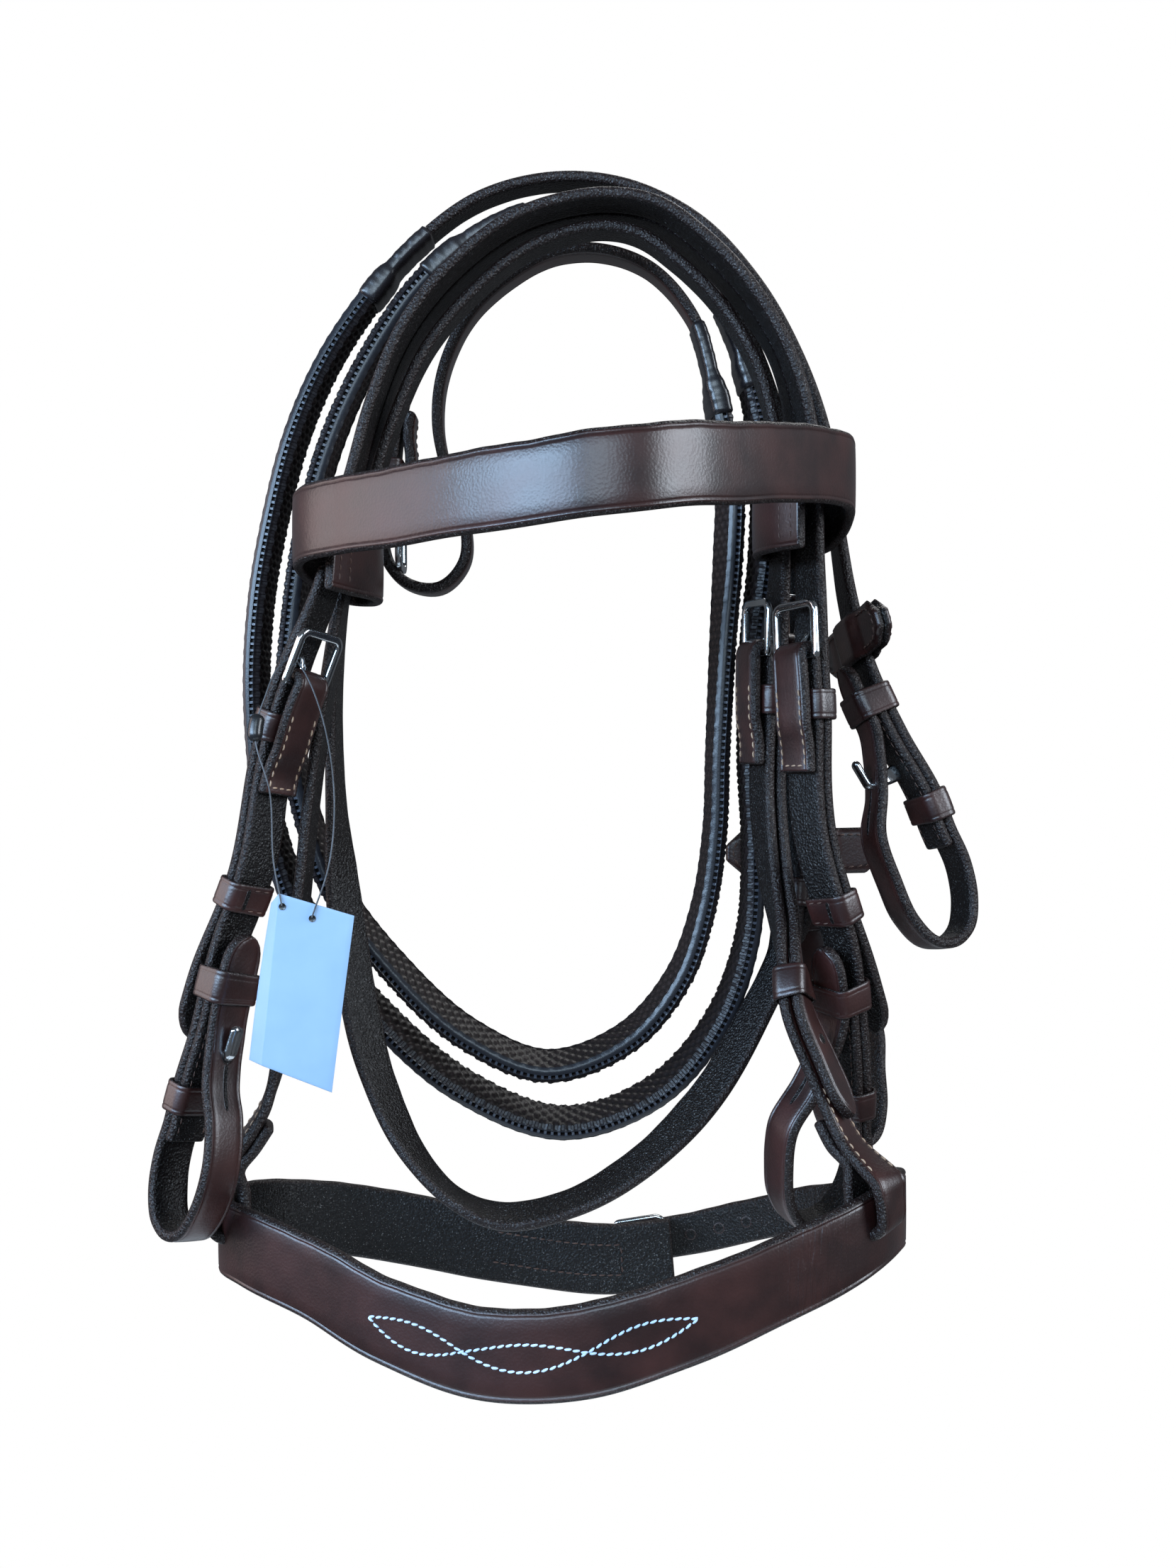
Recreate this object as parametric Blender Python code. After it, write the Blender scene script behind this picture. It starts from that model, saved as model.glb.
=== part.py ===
"""Hunter bridle hanging by its head straps, as separate straps, buckles and keepers.

Metres, +Z up, +X to the viewer's right, the front of the bridle towards -Y.
The origin is the hang seat, the underside of the straps where a hook carries them.
Hanging routes are given in steps of GRID, so a route number of 10 is 0.1 m.
"""

import math

import bpy
import numpy as np

for old in list(bpy.data.objects):
    bpy.data.objects.remove(old, do_unlink=True)

# Driving sizes
GRID = 0.010
GAP = 0.0003

STRAP_WIDTH = 0.0155
STRAP_THICK = 0.0038
CROWN_WIDTH = 0.038
BROW_WIDTH = 0.0255
BROW_THICK = 0.0036
NOSE_WIDTH = 0.0275
NOSE_THICK = 0.0040
CHIN_WIDTH = 0.0165
REIN_WIDTH = 0.0158
REIN_THICK = 0.0038
GRIP_WIDTH = 0.0172
GRIP_THICK = 0.0066
SLEEVE_WALL = 0.0007

KEEPER_HIGH = 0.0105
KEEPER_WALL = 0.0013
KEEPER_SLACK = 0.0005
WIRE = 0.0024
BAR = 0.0020
BUCKLE_LONG = 0.0180
BUCKLE_ROUND = 0.0030
BAR_ROUND = 0.0012
TONGUE_WIDTH = 0.0028
TONGUE_THICK = 0.0013
HOLE_WIDE = 0.0046
TIP_LONG = 0.0120

STOP_LONG = 0.060
STOP_HIGH = 0.0175
STOP_LAYER = 0.0030
STUD_BEND = 0.0013
STUD_TAB_LONG = 0.0110
STUD_TAB_WIDE = 0.0030
STUD_TAB_THICK = 0.0018

CARD_THICK = 0.0006
STRING_RADIUS = 0.0005
STRING_STEPS = 44
BEAD_RADIUS = 0.0026
BEAD_LONG = 0.0095
BEAD_HOLE = 0.00092

CHEEK_LOOP_LONG = 0.036
STUD_UP = 0.028
STUD_SLOT = 0.0064
PAD_UP = 0.050
PAD_DOWN = 0.006
PAD_RAMP = 0.0009
UPPER_UP = 0.081
TIP_UP = 0.0500
LOWER_UP = 0.009
REIN_STUD_UP = 0.026
REIN_PAD_UP = 0.056
REIN_TIP_UP = 0.052
SLIT_HIGH = 0.0066
NOSE_SWELL_SHARE = 0.10
CHIN_HOLE_STEP = 0.012
CHAPE_LONG = 0.042
CHAPE_SHORT = 0.034
BILLET_OVER = 0.034
SLOT_LEG = 0.0035
SLEEVE_STEP_SHARE = 0.58
SLEEVE_GRIP_SHARE = 0.68
TURNED_BACK = 0.040
KEEPER_BELOW = 0.0165
RUNNER_UP = 0.021
PIERCE_SHARES = (0.34, 0.80)

BRANCH_LEAD = 0.020
LEAD_STEP = 0.010
LOOP_WIDE_LEFT = 0.026
LOOP_WIDE_RIGHT = 0.033
LOOP_LONG_ONE = 0.039
LOOP_WIDE_ONE = 0.028
LOOP_LONG_TWO = 0.036
LOOP_WIDE_TWO = 0.024
RETURN_SLACK = 0.0003
NOSE_SWELL_LONG = 0.060
SLIT_CLEAR = 0.0009
WRAP_CLEAR = 0.0021
WRAP_CLOSE = 0.012
WRAP_LONG = 0.018
NOSE_STEP_CLEAR = 0.0006
STOP_CLEAR = 0.0009

# Heights and places of the fittings, from the hang seat
SPLIT_LEFT = -0.064
SPLIT_RIGHT = -0.069
CHEEK_BAR_LEFT = -0.158
CHEEK_BAR_RIGHT = -0.149
CHEEK_CUT_LEFT = -0.243
CHEEK_CUT_RIGHT = -0.244
NOSE_BAR = -0.146
NOSE_KEEPER_TIP = -0.264
NOSE_MIDDLE = -0.010
NOSE_SLIT_LEFT = -0.031
NOSE_SLIT_RIGHT = 0.093
THROAT_BAR = -0.142
CHIN_BAR = 0.009
REIN_BAR = -0.094
REIN_LOOP_LOW = -0.119
STOP_ONE = -0.140
STOP_TWO = -0.219
SLEEVE_TURN = 0.012
SLEEVE_ONE = (-0.015, -0.046)
SLEEVE_TWO = (-0.022, -0.056)
RISE_ONE = -0.013
RISE_TWO = -0.004
REIN_TOP_TWO = 0.020
REIN_SIDE_HIGH = -0.100
REIN_SIDE_LOW = -0.200
REIN_RUN = 0.200
BEAD_PLACE = -0.174

# Derived stack steps
LAYER = STRAP_THICK + GAP
REIN_LAYER = REIN_THICK + GAP
BAR_OFF = BAR / 2 + GAP + STRAP_THICK / 2

EARLY_SHARE, HALF_SHARE, LATE_SHARE = 0.4, 0.5, 0.6
SMOOTH_ANGLE = math.radians(38)
TURN = math.radians(21)
CHORD = 0.00014
LONGEST = 0.030
UP = (0.0, 0.0, 1.0)


def unit(v):
    v = np.asarray(v, float)
    return v / np.linalg.norm(v, axis=-1, keepdims=True)


def side(turn):
    """Level width direction of a hanging strap, turned about the vertical in degrees."""
    a = math.radians(turn)
    return (math.sin(a), math.cos(a), 0.0)


# Materials
MATERIALS = {}


def material(name, colour, roughness, metallic=0.0):
    mat = bpy.data.materials.new(name)
    mat.use_nodes = True
    shader = mat.node_tree.nodes["Principled BSDF"]
    shader.inputs["Base Color"].default_value = (*colour, 1.0)
    shader.inputs["Roughness"].default_value = roughness
    shader.inputs["Metallic"].default_value = metallic
    mat.diffuse_color = (*colour, 1.0)
    MATERIALS[name] = mat


material("leather", (0.050, 0.022, 0.015), 0.45)
material("rubber", (0.030, 0.024, 0.024), 0.60)
material("sleeve", (0.010, 0.010, 0.011), 0.35)
material("steel", (0.62, 0.61, 0.60), 0.18, 1.0)
material("card", (0.80, 0.83, 0.86), 0.55)
material("string", (0.02, 0.02, 0.02), 0.50)


# Routes: a line with a width direction, measured along its length
class Path:
    def __init__(self, points, widths, sign=1.0):
        points, widths = np.asarray(points, float), np.asarray(widths, float)
        step = np.linalg.norm(np.diff(points, axis=0), axis=1)
        keep = np.concatenate([[True], step > GAP / 10])
        self.p, widths, self.sign = points[keep], widths[keep], sign
        run = np.diff(self.p, axis=0)
        length = np.linalg.norm(run, axis=1)
        way = run / length[:, None]
        mid = (way[:-1] * length[1:, None] + way[1:] * length[:-1, None])
        self.t = unit(np.vstack([way[:1], mid, way[-1:]]))
        self.w = unit(widths - self.t * np.sum(widths * self.t, axis=1, keepdims=True))
        self.n = sign * np.cross(self.t, self.w)
        self.s = np.concatenate([[0.0], np.cumsum(length)])

    @property
    def length(self):
        return self.s[-1]

    def at(self, s):
        """Point, direction, width direction and outward direction at length s."""
        s = min(max(s, 0.0), self.length)
        out = [np.array([np.interp(s, self.s, a[:, k]) for k in range(3)])
               for a in (self.p, self.t, self.w)]
        t, w = unit(out[1]), out[2]
        w = unit(w - t * np.dot(w, t))
        return out[0], t, w, self.sign * np.cross(t, w)

    def cut(self, start, end):
        inner = self.s[(self.s > start + GAP) & (self.s < end - GAP)]
        rows = [self.at(s) for s in [start, *inner, end]]
        return Path([r[0] for r in rows], [r[2] for r in rows], self.sign)

    def shift(self, out):
        return Path(self.p + self.n * out, self.w, self.sign)

    def back(self):
        return Path(self.p[::-1], self.w[::-1], -self.sign)

    def level(self, height, start=0.0, axis=2):
        """Length at which the path first crosses a height, or a place on another axis, past start."""
        z = self.p[:, axis] - height
        for i in range(len(z) - 1):
            if self.s[i + 1] > start and z[i] * z[i + 1] <= 0 and z[i] != z[i + 1]:
                return self.s[i] + (self.s[i + 1] - self.s[i]) * z[i] / (z[i] - z[i + 1])
        raise ValueError("height not on path")

    def stations(self, start, end, extra=(), longest=LONGEST):
        """Lengths for cross-sections, closer together where the path turns, so that a chord
        strays from the path by less than CHORD."""
        marks = sorted({start, end, *[e for e in extra if start < e < end]})
        out = [start]
        for a, b in zip(marks, marks[1:]):
            grid = np.linspace(a, b, max(3, int((b - a) / GAP / 3)))
            frames = [self.at(s) for s in grid]
            need = [0.0]
            for f, g in zip(frames, frames[1:]):
                angle = math.acos(min(1.0, float(np.dot(f[1], g[1]))))
                twist = math.acos(min(1.0, float(np.dot(f[2], g[2]))))
                move = (b - a) / (len(grid) - 1)
                bent = max(angle / TURN, math.sqrt(angle * move / (8 * CHORD)), twist / TURN)
                need.append(need[-1] + max(bent, move / longest))
            need = np.array(need)
            count = max(1, math.ceil(need[-1]))
            want = np.linspace(0, need[-1], count + 1)[1:]
            out += [float(np.interp(m, need, grid)) for m in want[:-1]] + [b]
        return out


def spline(rows, sign=1.0):
    """Smooth path through rows of x, y, z in GRID steps and a turn or a width direction."""
    pts = np.array([r[:3] for r in rows], float) * GRID
    wid = np.array([side(r[3]) if len(r) == 4 else r[3:6] for r in rows])
    data = np.hstack([pts, wid])
    gap = np.linalg.norm(np.diff(pts, axis=0), axis=1) ** 0.75
    t = np.concatenate([[0.0], np.cumsum(gap)])
    slope = np.gradient(data, t, axis=0, edge_order=1)
    out = []
    for i in range(len(rows) - 1):
        h = t[i + 1] - t[i]
        for u in np.linspace(0, 1, 14)[: 14 if i == len(rows) - 2 else 13]:
            a, b = 2 * u**3 - 3 * u**2 + 1, u**3 - 2 * u**2 + u
            c, d = 3 * u**2 - 2 * u**3, u**3 - u**2
            out.append(a * data[i] + b * h * slope[i] + c * data[i + 1] + d * h * slope[i + 1])
    out = np.array(out)
    return Path(out[:, :3], out[:, 3:], sign)


def join(*paths):
    first = paths[0]
    return Path(np.vstack([p.p for p in paths]), np.vstack([p.w for p in paths]), first.sign)


# Solids
JOINT_NOTES = {}


def finish(name, verts, faces, mat):
    mesh = bpy.data.meshes.new(name)
    mesh.from_pydata([tuple(map(float, v)) for v in verts], [], faces)
    mesh.update()
    tri = 0.0
    for f in faces:
        a = np.asarray(verts[f[0]])
        for i in range(1, len(f) - 1):
            tri += np.dot(a, np.cross(verts[f[i]], verts[f[i + 1]]))
    if tri < 0:
        mesh.flip_normals()
    mesh.materials.append(MATERIALS[mat])
    ob = bpy.data.objects.new(name, mesh)
    bpy.context.collection.objects.link(ob)
    for poly in mesh.polygons:
        poly.use_smooth = True
    mesh.set_sharp_from_angle(angle=SMOOTH_ANGLE)


def thick_sheet(name, cells, place, mat):
    """Closed solid from a sheet of cells; place gives each corner key its two surface points."""
    verts, index, faces = [], {}, []

    def vert(key, top):
        if (key, top) not in index:
            index[(key, top)] = len(verts)
            verts.append(place[key][0 if top else 1])
        return index[(key, top)]

    edges = {(c[i], c[(i + 1) % len(c)]) for c in cells for i in range(len(c))}
    for c in cells:
        faces.append([vert(k, True) for k in c])
        faces.append([vert(k, False) for k in reversed(c)])
        for i in range(len(c)):
            a, b = c[i], c[(i + 1) % len(c)]
            if (b, a) not in edges:
                faces.append([vert(a, True), vert(a, False), vert(b, False), vert(b, True)])
    finish(name, verts, faces, mat)


TIP_SHARES = {
    "square": ((0.0, 1.0),),
    "point": ((0.0, 0.14), (0.10, 0.36), (0.30, 0.64), (0.60, 0.88), (1.0, 1.0)),
    "round": ((0.0, 0.42), (0.12, 0.68), (0.35, 0.90), (0.70, 1.0)),
}


def strap_rows(path, start, end, width, tips=("square", "square"), holes=(), extra=()):
    """Cross-section lengths, the half-width at each, and which spans are holes."""
    marks = list(extra)
    for h0, h1 in holes:
        marks += [h0, h1]
    for tip, base, way in ((tips[0], start, 1), (tips[1], end, -1)):
        marks += [base + way * share * TIP_LONG for share, _ in TIP_SHARES[tip]]
    s = sorted(set(round(v, 7) for v in path.stations(start, end, marks)))
    half = []
    for v in s:
        scale = 1.0
        for tip, away in ((tips[0], v - start), (tips[1], end - v)):
            shares = TIP_SHARES[tip]
            scale = min(scale, np.interp(away / TIP_LONG, [a for a, _ in shares],
                                         [b for _, b in shares]))
        half.append(width(v) / 2 * scale if callable(width) else width / 2 * scale)
    return s, half


def ribbon(tag, path, start, end, width=STRAP_WIDTH, thick=STRAP_THICK, tips=("square", "square"),
           holes=(), pads=(), hole_wide=HOLE_WIDE, first=None, marks=()):
    """Corner places and cells of a flat strap; pads are lengths doubled on the inner side.

    first, where given, is a pair of corner keys that the strap grows out of; marks are lengths
    that need a cross-section of their own.
    """
    extra = [v for p0, p1 in pads for v in (p0 - PAD_RAMP, p0, p1, p1 + PAD_RAMP)]
    s, half = strap_rows(path, start, end, width, tips, holes, [*extra, *marks])
    spans = range(len(s) - 1)
    open_at = [any(h0 < (s[i] + s[i + 1]) / 2 < h1 for h0, h1 in holes) for i in spans]
    place, cells, rows = {}, [], []
    for i, v in enumerate(s):
        p, t, w, n = path.at(v)
        low = thick / 2
        for p0, p1 in pads:
            if p0 - GAP / 9 <= v <= p1 + GAP / 9:
                low += thick
        beside = any(open_at[max(i - 1, 0):i + 1])
        rows.append([(tag, i, c) for c in ((-1, -2, 2, 1) if beside else (-1, 1))])
        for key in rows[-1]:
            off = math.copysign(half[i] if abs(key[2]) == 1 else min(hole_wide / 2, half[i] * 0.6), key[2])
            q = p + w * off
            place[key] = (q + n * thick / 2, q - n * low)
    for i in spans:
        near, far = rows[i], rows[i + 1]
        if open_at[i]:
            cells += [(near[0], far[0], far[1], near[1]), (near[2], far[2], far[3], near[3])]
        elif first and i == 0:
            cells.append((first[0], *far, first[1]))
        else:
            cells.append((near[0], *far, *reversed(near[1:])))
    return place, cells


def strap(name, path, start, end, *sizes, mat="leather", **options):
    place, cells = ribbon(name, path, start, end, *sizes, **options)
    thick_sheet(name, cells, place, mat)


def ring_block(name, loops, mat):
    """Closed ring from rows of (outer loop, inner loop), each loop a list of points."""
    rows, count = len(loops), len(loops[0][0])
    verts = [p for outer, inner in loops for p in (*outer, *inner)]

    def at(row, ring, k):
        return row * 2 * count + ring * count + k % count

    faces = []
    for k in range(count):
        for r in range(rows - 1):
            faces.append([at(r, 0, k), at(r, 0, k + 1), at(r + 1, 0, k + 1), at(r + 1, 0, k)])
            faces.append([at(r + 1, 1, k), at(r + 1, 1, k + 1), at(r, 1, k + 1), at(r, 1, k)])
        faces.append([at(0, 0, k + 1), at(0, 0, k), at(0, 1, k), at(0, 1, k + 1)])
        last = rows - 1
        faces.append([at(last, 0, k), at(last, 0, k + 1), at(last, 1, k + 1), at(last, 1, k)])
    finish(name, verts, faces, mat)


CORNER_SHARES = ((1, -0.55), (1, 0.55), (0.8, 1), (-0.8, 1), (-1, 0.55), (-1, -0.55), (-0.8, -1), (0.8, -1))


def oblong(centre, w, n, half_w, half_n):
    """Eight-cornered oblong in the plane of w and n."""
    return [centre + w * half_w * a + n * half_n * b for a, b in CORNER_SHARES]


def keeper(name, path, s, low, high, width=STRAP_WIDTH, tall=KEEPER_HIGH):
    """Leather loop round a stack of straps that lies between low and high along the outward way."""
    loops = []
    mid, half = (low + high) / 2, (high - low) / 2 + KEEPER_SLACK
    wide = width / 2 + KEEPER_SLACK
    for v in path.stations(s - tall / 2, s + tall / 2, [s]):
        p, t, w, n = path.at(v)
        c = p + n * mid
        inner = [c + w * wide * a + n * half * b for a, b in SQUARE_SHARES]
        loops.append((oblong(c, w, n, wide + KEEPER_WALL, half + KEEPER_WALL), inner))
    JOINT_NOTES[name] = path.at(s)[:2]
    ring_block(name, loops, "leather")


SQUARE_SHARES = ((1, -0.9), (1, 0.9), (0.9, 1), (-0.9, 1), (-1, 0.9), (-1, -0.9), (-0.9, -1), (0.9, -1))


def tube(name, path, start, end, sizes, mat):
    """Sleeve round a rein; sizes gives (share, hollow width, hollow thickness, wall) rows."""
    loops = []
    marks = [start + (end - start) * r[0] for r in sizes]
    for v in path.stations(start, end, marks, longest=SLEEVE_TURN):
        share = (v - start) / (end - start)
        wide, deep, wall = (np.interp(share, [r[0] for r in sizes], [r[k] for r in sizes])
                            for k in (1, 2, 3))
        p, t, w, n = path.at(v)
        inner = [p + w * wide / 2 * a + n * deep / 2 * b for a, b in SQUARE_SHARES]
        outer = oblong(p, w, n, wide / 2 + wall * 1.3, deep / 2 + wall)
        loops.append((outer, inner))
    ring_block(name, loops, mat)


def rod(name, path, start, end, half_w, half_n, mat):
    """Solid bar with an eight-cornered section along a path."""
    verts, faces = [], []
    s = path.stations(start, end)
    for v in s:
        p, t, w, n = path.at(v)
        verts += oblong(p, w, n, half_w, half_n)
    for r in range(len(s) - 1):
        for k in range(8):
            a, b = r * 8 + k, r * 8 + (k + 1) % 8
            faces.append([a, b, b + 8, a + 8])
    faces.append(list(range(7, -1, -1)))
    faces.append([len(verts) - 8 + k for k in range(8)])
    finish(name, verts, faces, mat)


# Buckles
FRAME_SECTION = [(math.cos(a), math.sin(a)) for a in [math.pi / 3 * k for k in range(6)]]
TONGUE_SHARES = ((0.17, 0.155), (0.33, 0.20), (0.46, 0.29), (0.56, 0.40), (0.635, 0.52), (0.68, 0.62))


def buckle(label, path, s_bar, inner_width):
    """Frame and tongue; the bar lies inside the host strap at s_bar and the frame points backwards."""
    p, t, w, n = path.at(s_bar)
    centre, up = p - n * BAR_OFF, -t
    wide = inner_width / 2 + 2 * GAP + WIRE / 2
    corners = []
    for far, way, rounding, a0 in ((1, 1, BUCKLE_ROUND, 0.0), (0, 1, BAR_ROUND, 90.0),
                                   (0, -1, BAR_ROUND, 180.0), (1, -1, BUCKLE_ROUND, 270.0)):
        cx = BUCKLE_LONG - rounding if far else rounding
        for a in (0.0, 45.0, 90.0):
            r = math.radians(a0 + a)
            corners.append((cx + rounding * math.cos(r), (wide - rounding) * way + rounding * math.sin(r),
                            math.cos(r), math.sin(r)))
    verts, faces, count = [], [], len(corners)
    for u, v, du, dv in corners:
        size = BAR / 2 if du < -0.9 else WIRE / 2
        for a, b in FRAME_SECTION:
            verts.append(centre + up * (u + du * a * size) + w * (v + dv * a * size) + n * b * size)
    for i in range(count):
        for k in range(6):
            a, b = i * 6 + k, i * 6 + (k + 1) % 6
            c, d = ((i + 1) % count) * 6 + (k + 1) % 6, ((i + 1) % count) * 6 + k
            faces.append([a, b, c, d])
    finish(label + "_buckle_frame", verts, faces, "steel")

    eye = BAR / 2 + GAP + TONGUE_THICK / 2
    pts = []
    leave = math.radians(100)
    for a in np.linspace(leave + math.radians(262), leave, 13):
        pts.append(centre + up * eye * math.cos(a) + n * eye * math.sin(a))
    for u, v in TONGUE_SHARES:
        pts.append(centre + (up * u + n * v) * BUCKLE_LONG)
    tongue = Path(pts, [w] * len(pts))
    strap(label + "_buckle_tongue", tongue, 0.0, tongue.length, TONGUE_WIDTH, TONGUE_THICK, mat="steel")
    JOINT_NOTES[label + "_buckle_tongue"] = (centre, w)


FOLD_BACK_SHARES = ((1.0, 0.0), (0.85, 0.0), (0.72, 0.3), (0.58, 0.92), (0.3, 1.0), (0.12, 1.0))


def folded(path, s_bar, back_long, close=LAYER):
    """Strap path that turns back round a buckle bar: the turned-back end, the fold, then the path."""
    bulge = 2 * BAR_OFF
    pts, wid = [], []
    for share, wide in FOLD_BACK_SHARES:
        p, t, w, n = path.at(s_bar + back_long * share)
        pts.append(p - n * (close + (bulge - close) * wide))
        wid.append(w)
    p, t, w, n = path.at(s_bar)
    for a in np.linspace(180, 0, 10):
        r = math.radians(a)
        pts.append(p - n * BAR_OFF + n * BAR_OFF * math.cos(r) - t * BAR_OFF * math.sin(r))
        wid.append(w)
    rest = path.cut(s_bar, path.length)
    out = Path(np.vstack([pts[:-1], rest.p]), np.vstack([wid[:-1], rest.w]), path.sign)
    return out, out.length - rest.length


# Bit ends: the strap goes round the bit and comes back up to a hook stud
LOOP_SHARES = ((0.35, -0.03), (0.70, 0.07), (0.93, 0.27), (1.0, 0.52), (0.93, 0.77), (0.66, 0.96),
               (0.25, 1.0))


def bit_end(path, s0, long, wide, returns):
    """Path with a bit loop below s0; returns are (length back up, inward offset) rows."""
    p, t, w, n = path.at(s0)
    upper = path.cut(0.0, s0)
    rows = [(*(q / GRID), *v) for q, v in zip(upper.p[-40::8], upper.w[-40::8])]
    rows.append((*(p / GRID), *w))
    for down, inward in LOOP_SHARES:
        rows.append((*((p + t * long * down - n * wide * inward) / GRID), *w))
    for back, off in returns:
        q, _, v, m = path.at(s0 - back * GRID)
        rows.append((*((q - m * off) / GRID), *v))
    whole = spline(rows, path.sign)
    first = np.argmin(np.linalg.norm(whole.p - p, axis=1))
    lower = Path(whole.p[first:], whole.w[first:], path.sign)
    points, widths = np.vstack([upper.p, lower.p[1:]]), np.vstack([upper.w, lower.w[1:]])
    return Path(points, widths, path.sign), upper.length


def hook_stud(label, path, s, base_off, strap_off):
    """Stud on the doubled strap: stem through the returning strap, tab hooked upwards."""
    p, t, w, n = path.at(s)
    start = base_off + GAP
    far = strap_off + STRAP_THICK / 2 + GAP + STUD_TAB_THICK / 2
    pts = [p - n * start, p - n * (start + far) / 2, p - n * (far - STUD_BEND),
           p - n * far - t * STUD_BEND, p - n * far - t * STUD_TAB_LONG / 2,
           p - n * far - t * STUD_TAB_LONG]
    hook = Path(pts, [w] * len(pts), path.sign)
    strap(label, hook, 0.0, hook.length, STUD_TAB_WIDE, STUD_TAB_THICK, mat="steel")


# Hanging routes, in GRID steps, left to right over the head
CROWN_ROUTE = (
    (-14.4, -3.3, -28.2, 42), (-13.7, -3.4, -25.9, 42), (-12.2, -3.7, -22.1, 42),
    (-11.6, -3.7, -18.6, 40), (-10.8, -4.0, -15.8, 35), (-9.5, -4.3, -12.7, 20),
    (-8.5, -4.1, -8.6, 6), (-7.85, -4.1, -6.1, 0), (-6.7, -4.1, -3.4, 0), (-5.0, -4.1, -1.3, 0),
    (-2.8, -4.1, 0.3, 0), (0.1, -4.1, 1.0, 0), (2.0, -4.1, 0.7, 0), (3.7, -4.1, -0.5, 0),
    (5.2, -4.1, -2.1, 0), (6.4, -4.1, -4.1, 0), (7.2, -3.9, -6.6, -5), (7.4, -3.5, -9.2, -15),
    (7.4, -3.3, -11.4, -25), (7.5, -3.4, -16.3, -38), (7.7, -3.4, -21.1, -38),
    (8.3, -3.4, -23.3, -38), (9.3, -2.6, -26.0, -38), (10.0, -1.9, -28.2, -38))
THROAT_LEFT = (
    (-8.7, -1.35, -8.8, 2), (-9.4, -0.85, -12.7, 2), (-9.65, -0.85, -16.6, 4), (-9.55, -0.85, -20.5, 14),
    (-9.2, -0.9, -23.4, 42), (-8.6, -1.3, -26.6, 48), (-7.7, -1.9, -29.4, 40),
    (-6.2, -2.6, -32.3, 0.42, 0.90, -0.10), (-4.8, -3.0, -33.9, 0.15, 0.98, 0.05),
    (-3.2, -3.2, -34.5, 0.0, 0.95, 0.30), (-1.1, -3.1, -34.1, -0.15, 0.94, 0.30),
    (1.4, -2.6, -32.8, -0.35, 0.86, 0.36), (4.0, -1.5, -30.4, -0.50, 0.78, 0.36),
    (5.6, -0.6, -27.9, -0.55, 0.80, 0.20))
CROWN_REAR_RIGHT = (
    (7.25, -1.35, -9.2, -12), (7.45, -0.6, -11.4, -22), (7.65, 0.2, -13.9, -32),
    (7.75, 0.6, -16.3, -35), (7.7, 0.6, -19.1, -35), (7.5, 0.5, -22.5, -35), (7.2, 0.3, -25.4, -35))
HEAD_ROUTE = (
    (-12.1, -3.0, -31.6, -15), (-11.5, -2.8, -29.8, -5), (-11.1, -2.7, -27.4, 6),
    (-10.65, -2.65, -24.2, 5), (-10.2, -2.6, -19.9, 3), (-9.7, -2.52, -16.2, 2),
    (-9.15, -2.5, -12.8, 0), (-8.2, -2.6, -9.5, 0),
    (-7.1, -2.9, -6.2, 0), (-6.0, -2.9, -3.9, 0), (-4.3, -2.9, -1.9, 0), (-2.3, -2.9, -0.4, 0),
    (0.1, -2.9, 0.25, 0), (1.4, -2.9, 0.0, 0), (2.7, -2.9, -0.9, 0), (4.2, -2.9, -2.4, 0),
    (5.4, -2.9, -4.3, 0), (6.1, -2.8, -6.5, 0), (6.4, -2.4, -9.0, -6), (6.5, -1.7, -11.5, -12),
    (6.45, -1.2, -13.5, -18), (6.4, -1.1, -16.6, -20), (6.35, -1.1, -20.0, -20),
    (6.55, -1.7, -22.5, -15), (6.8, -2.6, -24.2, -5), (6.9, -3.7, -25.6, 8), (7.02, -4.55, -27.0, 20),
    (7.75, -4.95, -28.8, 28), (8.5, -5.5, -30.6, 30))
BROW_ROUTE = (
    (-9.1, -6.0, -11.5), (-8.5, -5.0, -11.6), (-7.95, -3.6, -11.6), (-7.95, -1.8, -11.6),
    (-8.45, -0.3, -11.5), (-9.05, 0.2, -11.4), (-9.7, 0.1, -11.2), (-10.15, -0.8, -11.0),
    (-10.3, -2.4, -10.9), (-10.35, -3.8, -10.8), (-10.25, -5.3, -10.7), (-9.7, -6.7, -10.6),
    (-8.3, -8.3, -10.6), (-6.3, -10.2, -10.6), (-3.9, -12.2, -10.5), (-1.9, -13.4, -10.4),
    (-0.3, -13.8, -10.2), (1.2, -13.6, -10.0), (2.8, -12.6, -9.7), (4.4, -10.9, -9.4),
    (6.0, -8.8, -9.0), (7.6, -6.5, -8.7), (8.5, -4.8, -8.6), (8.8, -3.0, -8.8), (8.7, -1.2, -9.2),
    (8.3, 0.0, -9.5), (7.6, 0.55, -9.7), (7.0, 0.36, -9.8), (6.5, -0.45, -9.85), (6.0, -0.9, -9.9),
    (5.72, -1.8, -10.0), (5.65, -2.8, -10.0), (6.1, -4.3, -10.0), (6.9, -5.3, -10.0))
NOSE_ROUTE = (
    (2.9, 3.6, -37.6), (0.3, 3.6, -37.8), (-4.5, 3.6, -37.2), (-9.0, 3.0, -36.2),
    (-12.0, 1.5, -35.6), (-13.3, -0.8, -35.3), (-13.2, -3.0, -35.2), (-12.2, -4.6, -35.2),
    (-9.5, -6.6, -35.8), (-6.9, -8.2, -36.7), (-3.4, -9.4, -37.4), (-0.5, -9.6, -37.2),
    (2.6, -9.2, -36.4), (6.3, -8.0, -35.2), (8.9, -6.6, -34.3), (10.2, -4.6, -34.0),
    (10.6, -2.6, -34.3), (10.3, -0.8, -34.7))
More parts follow.
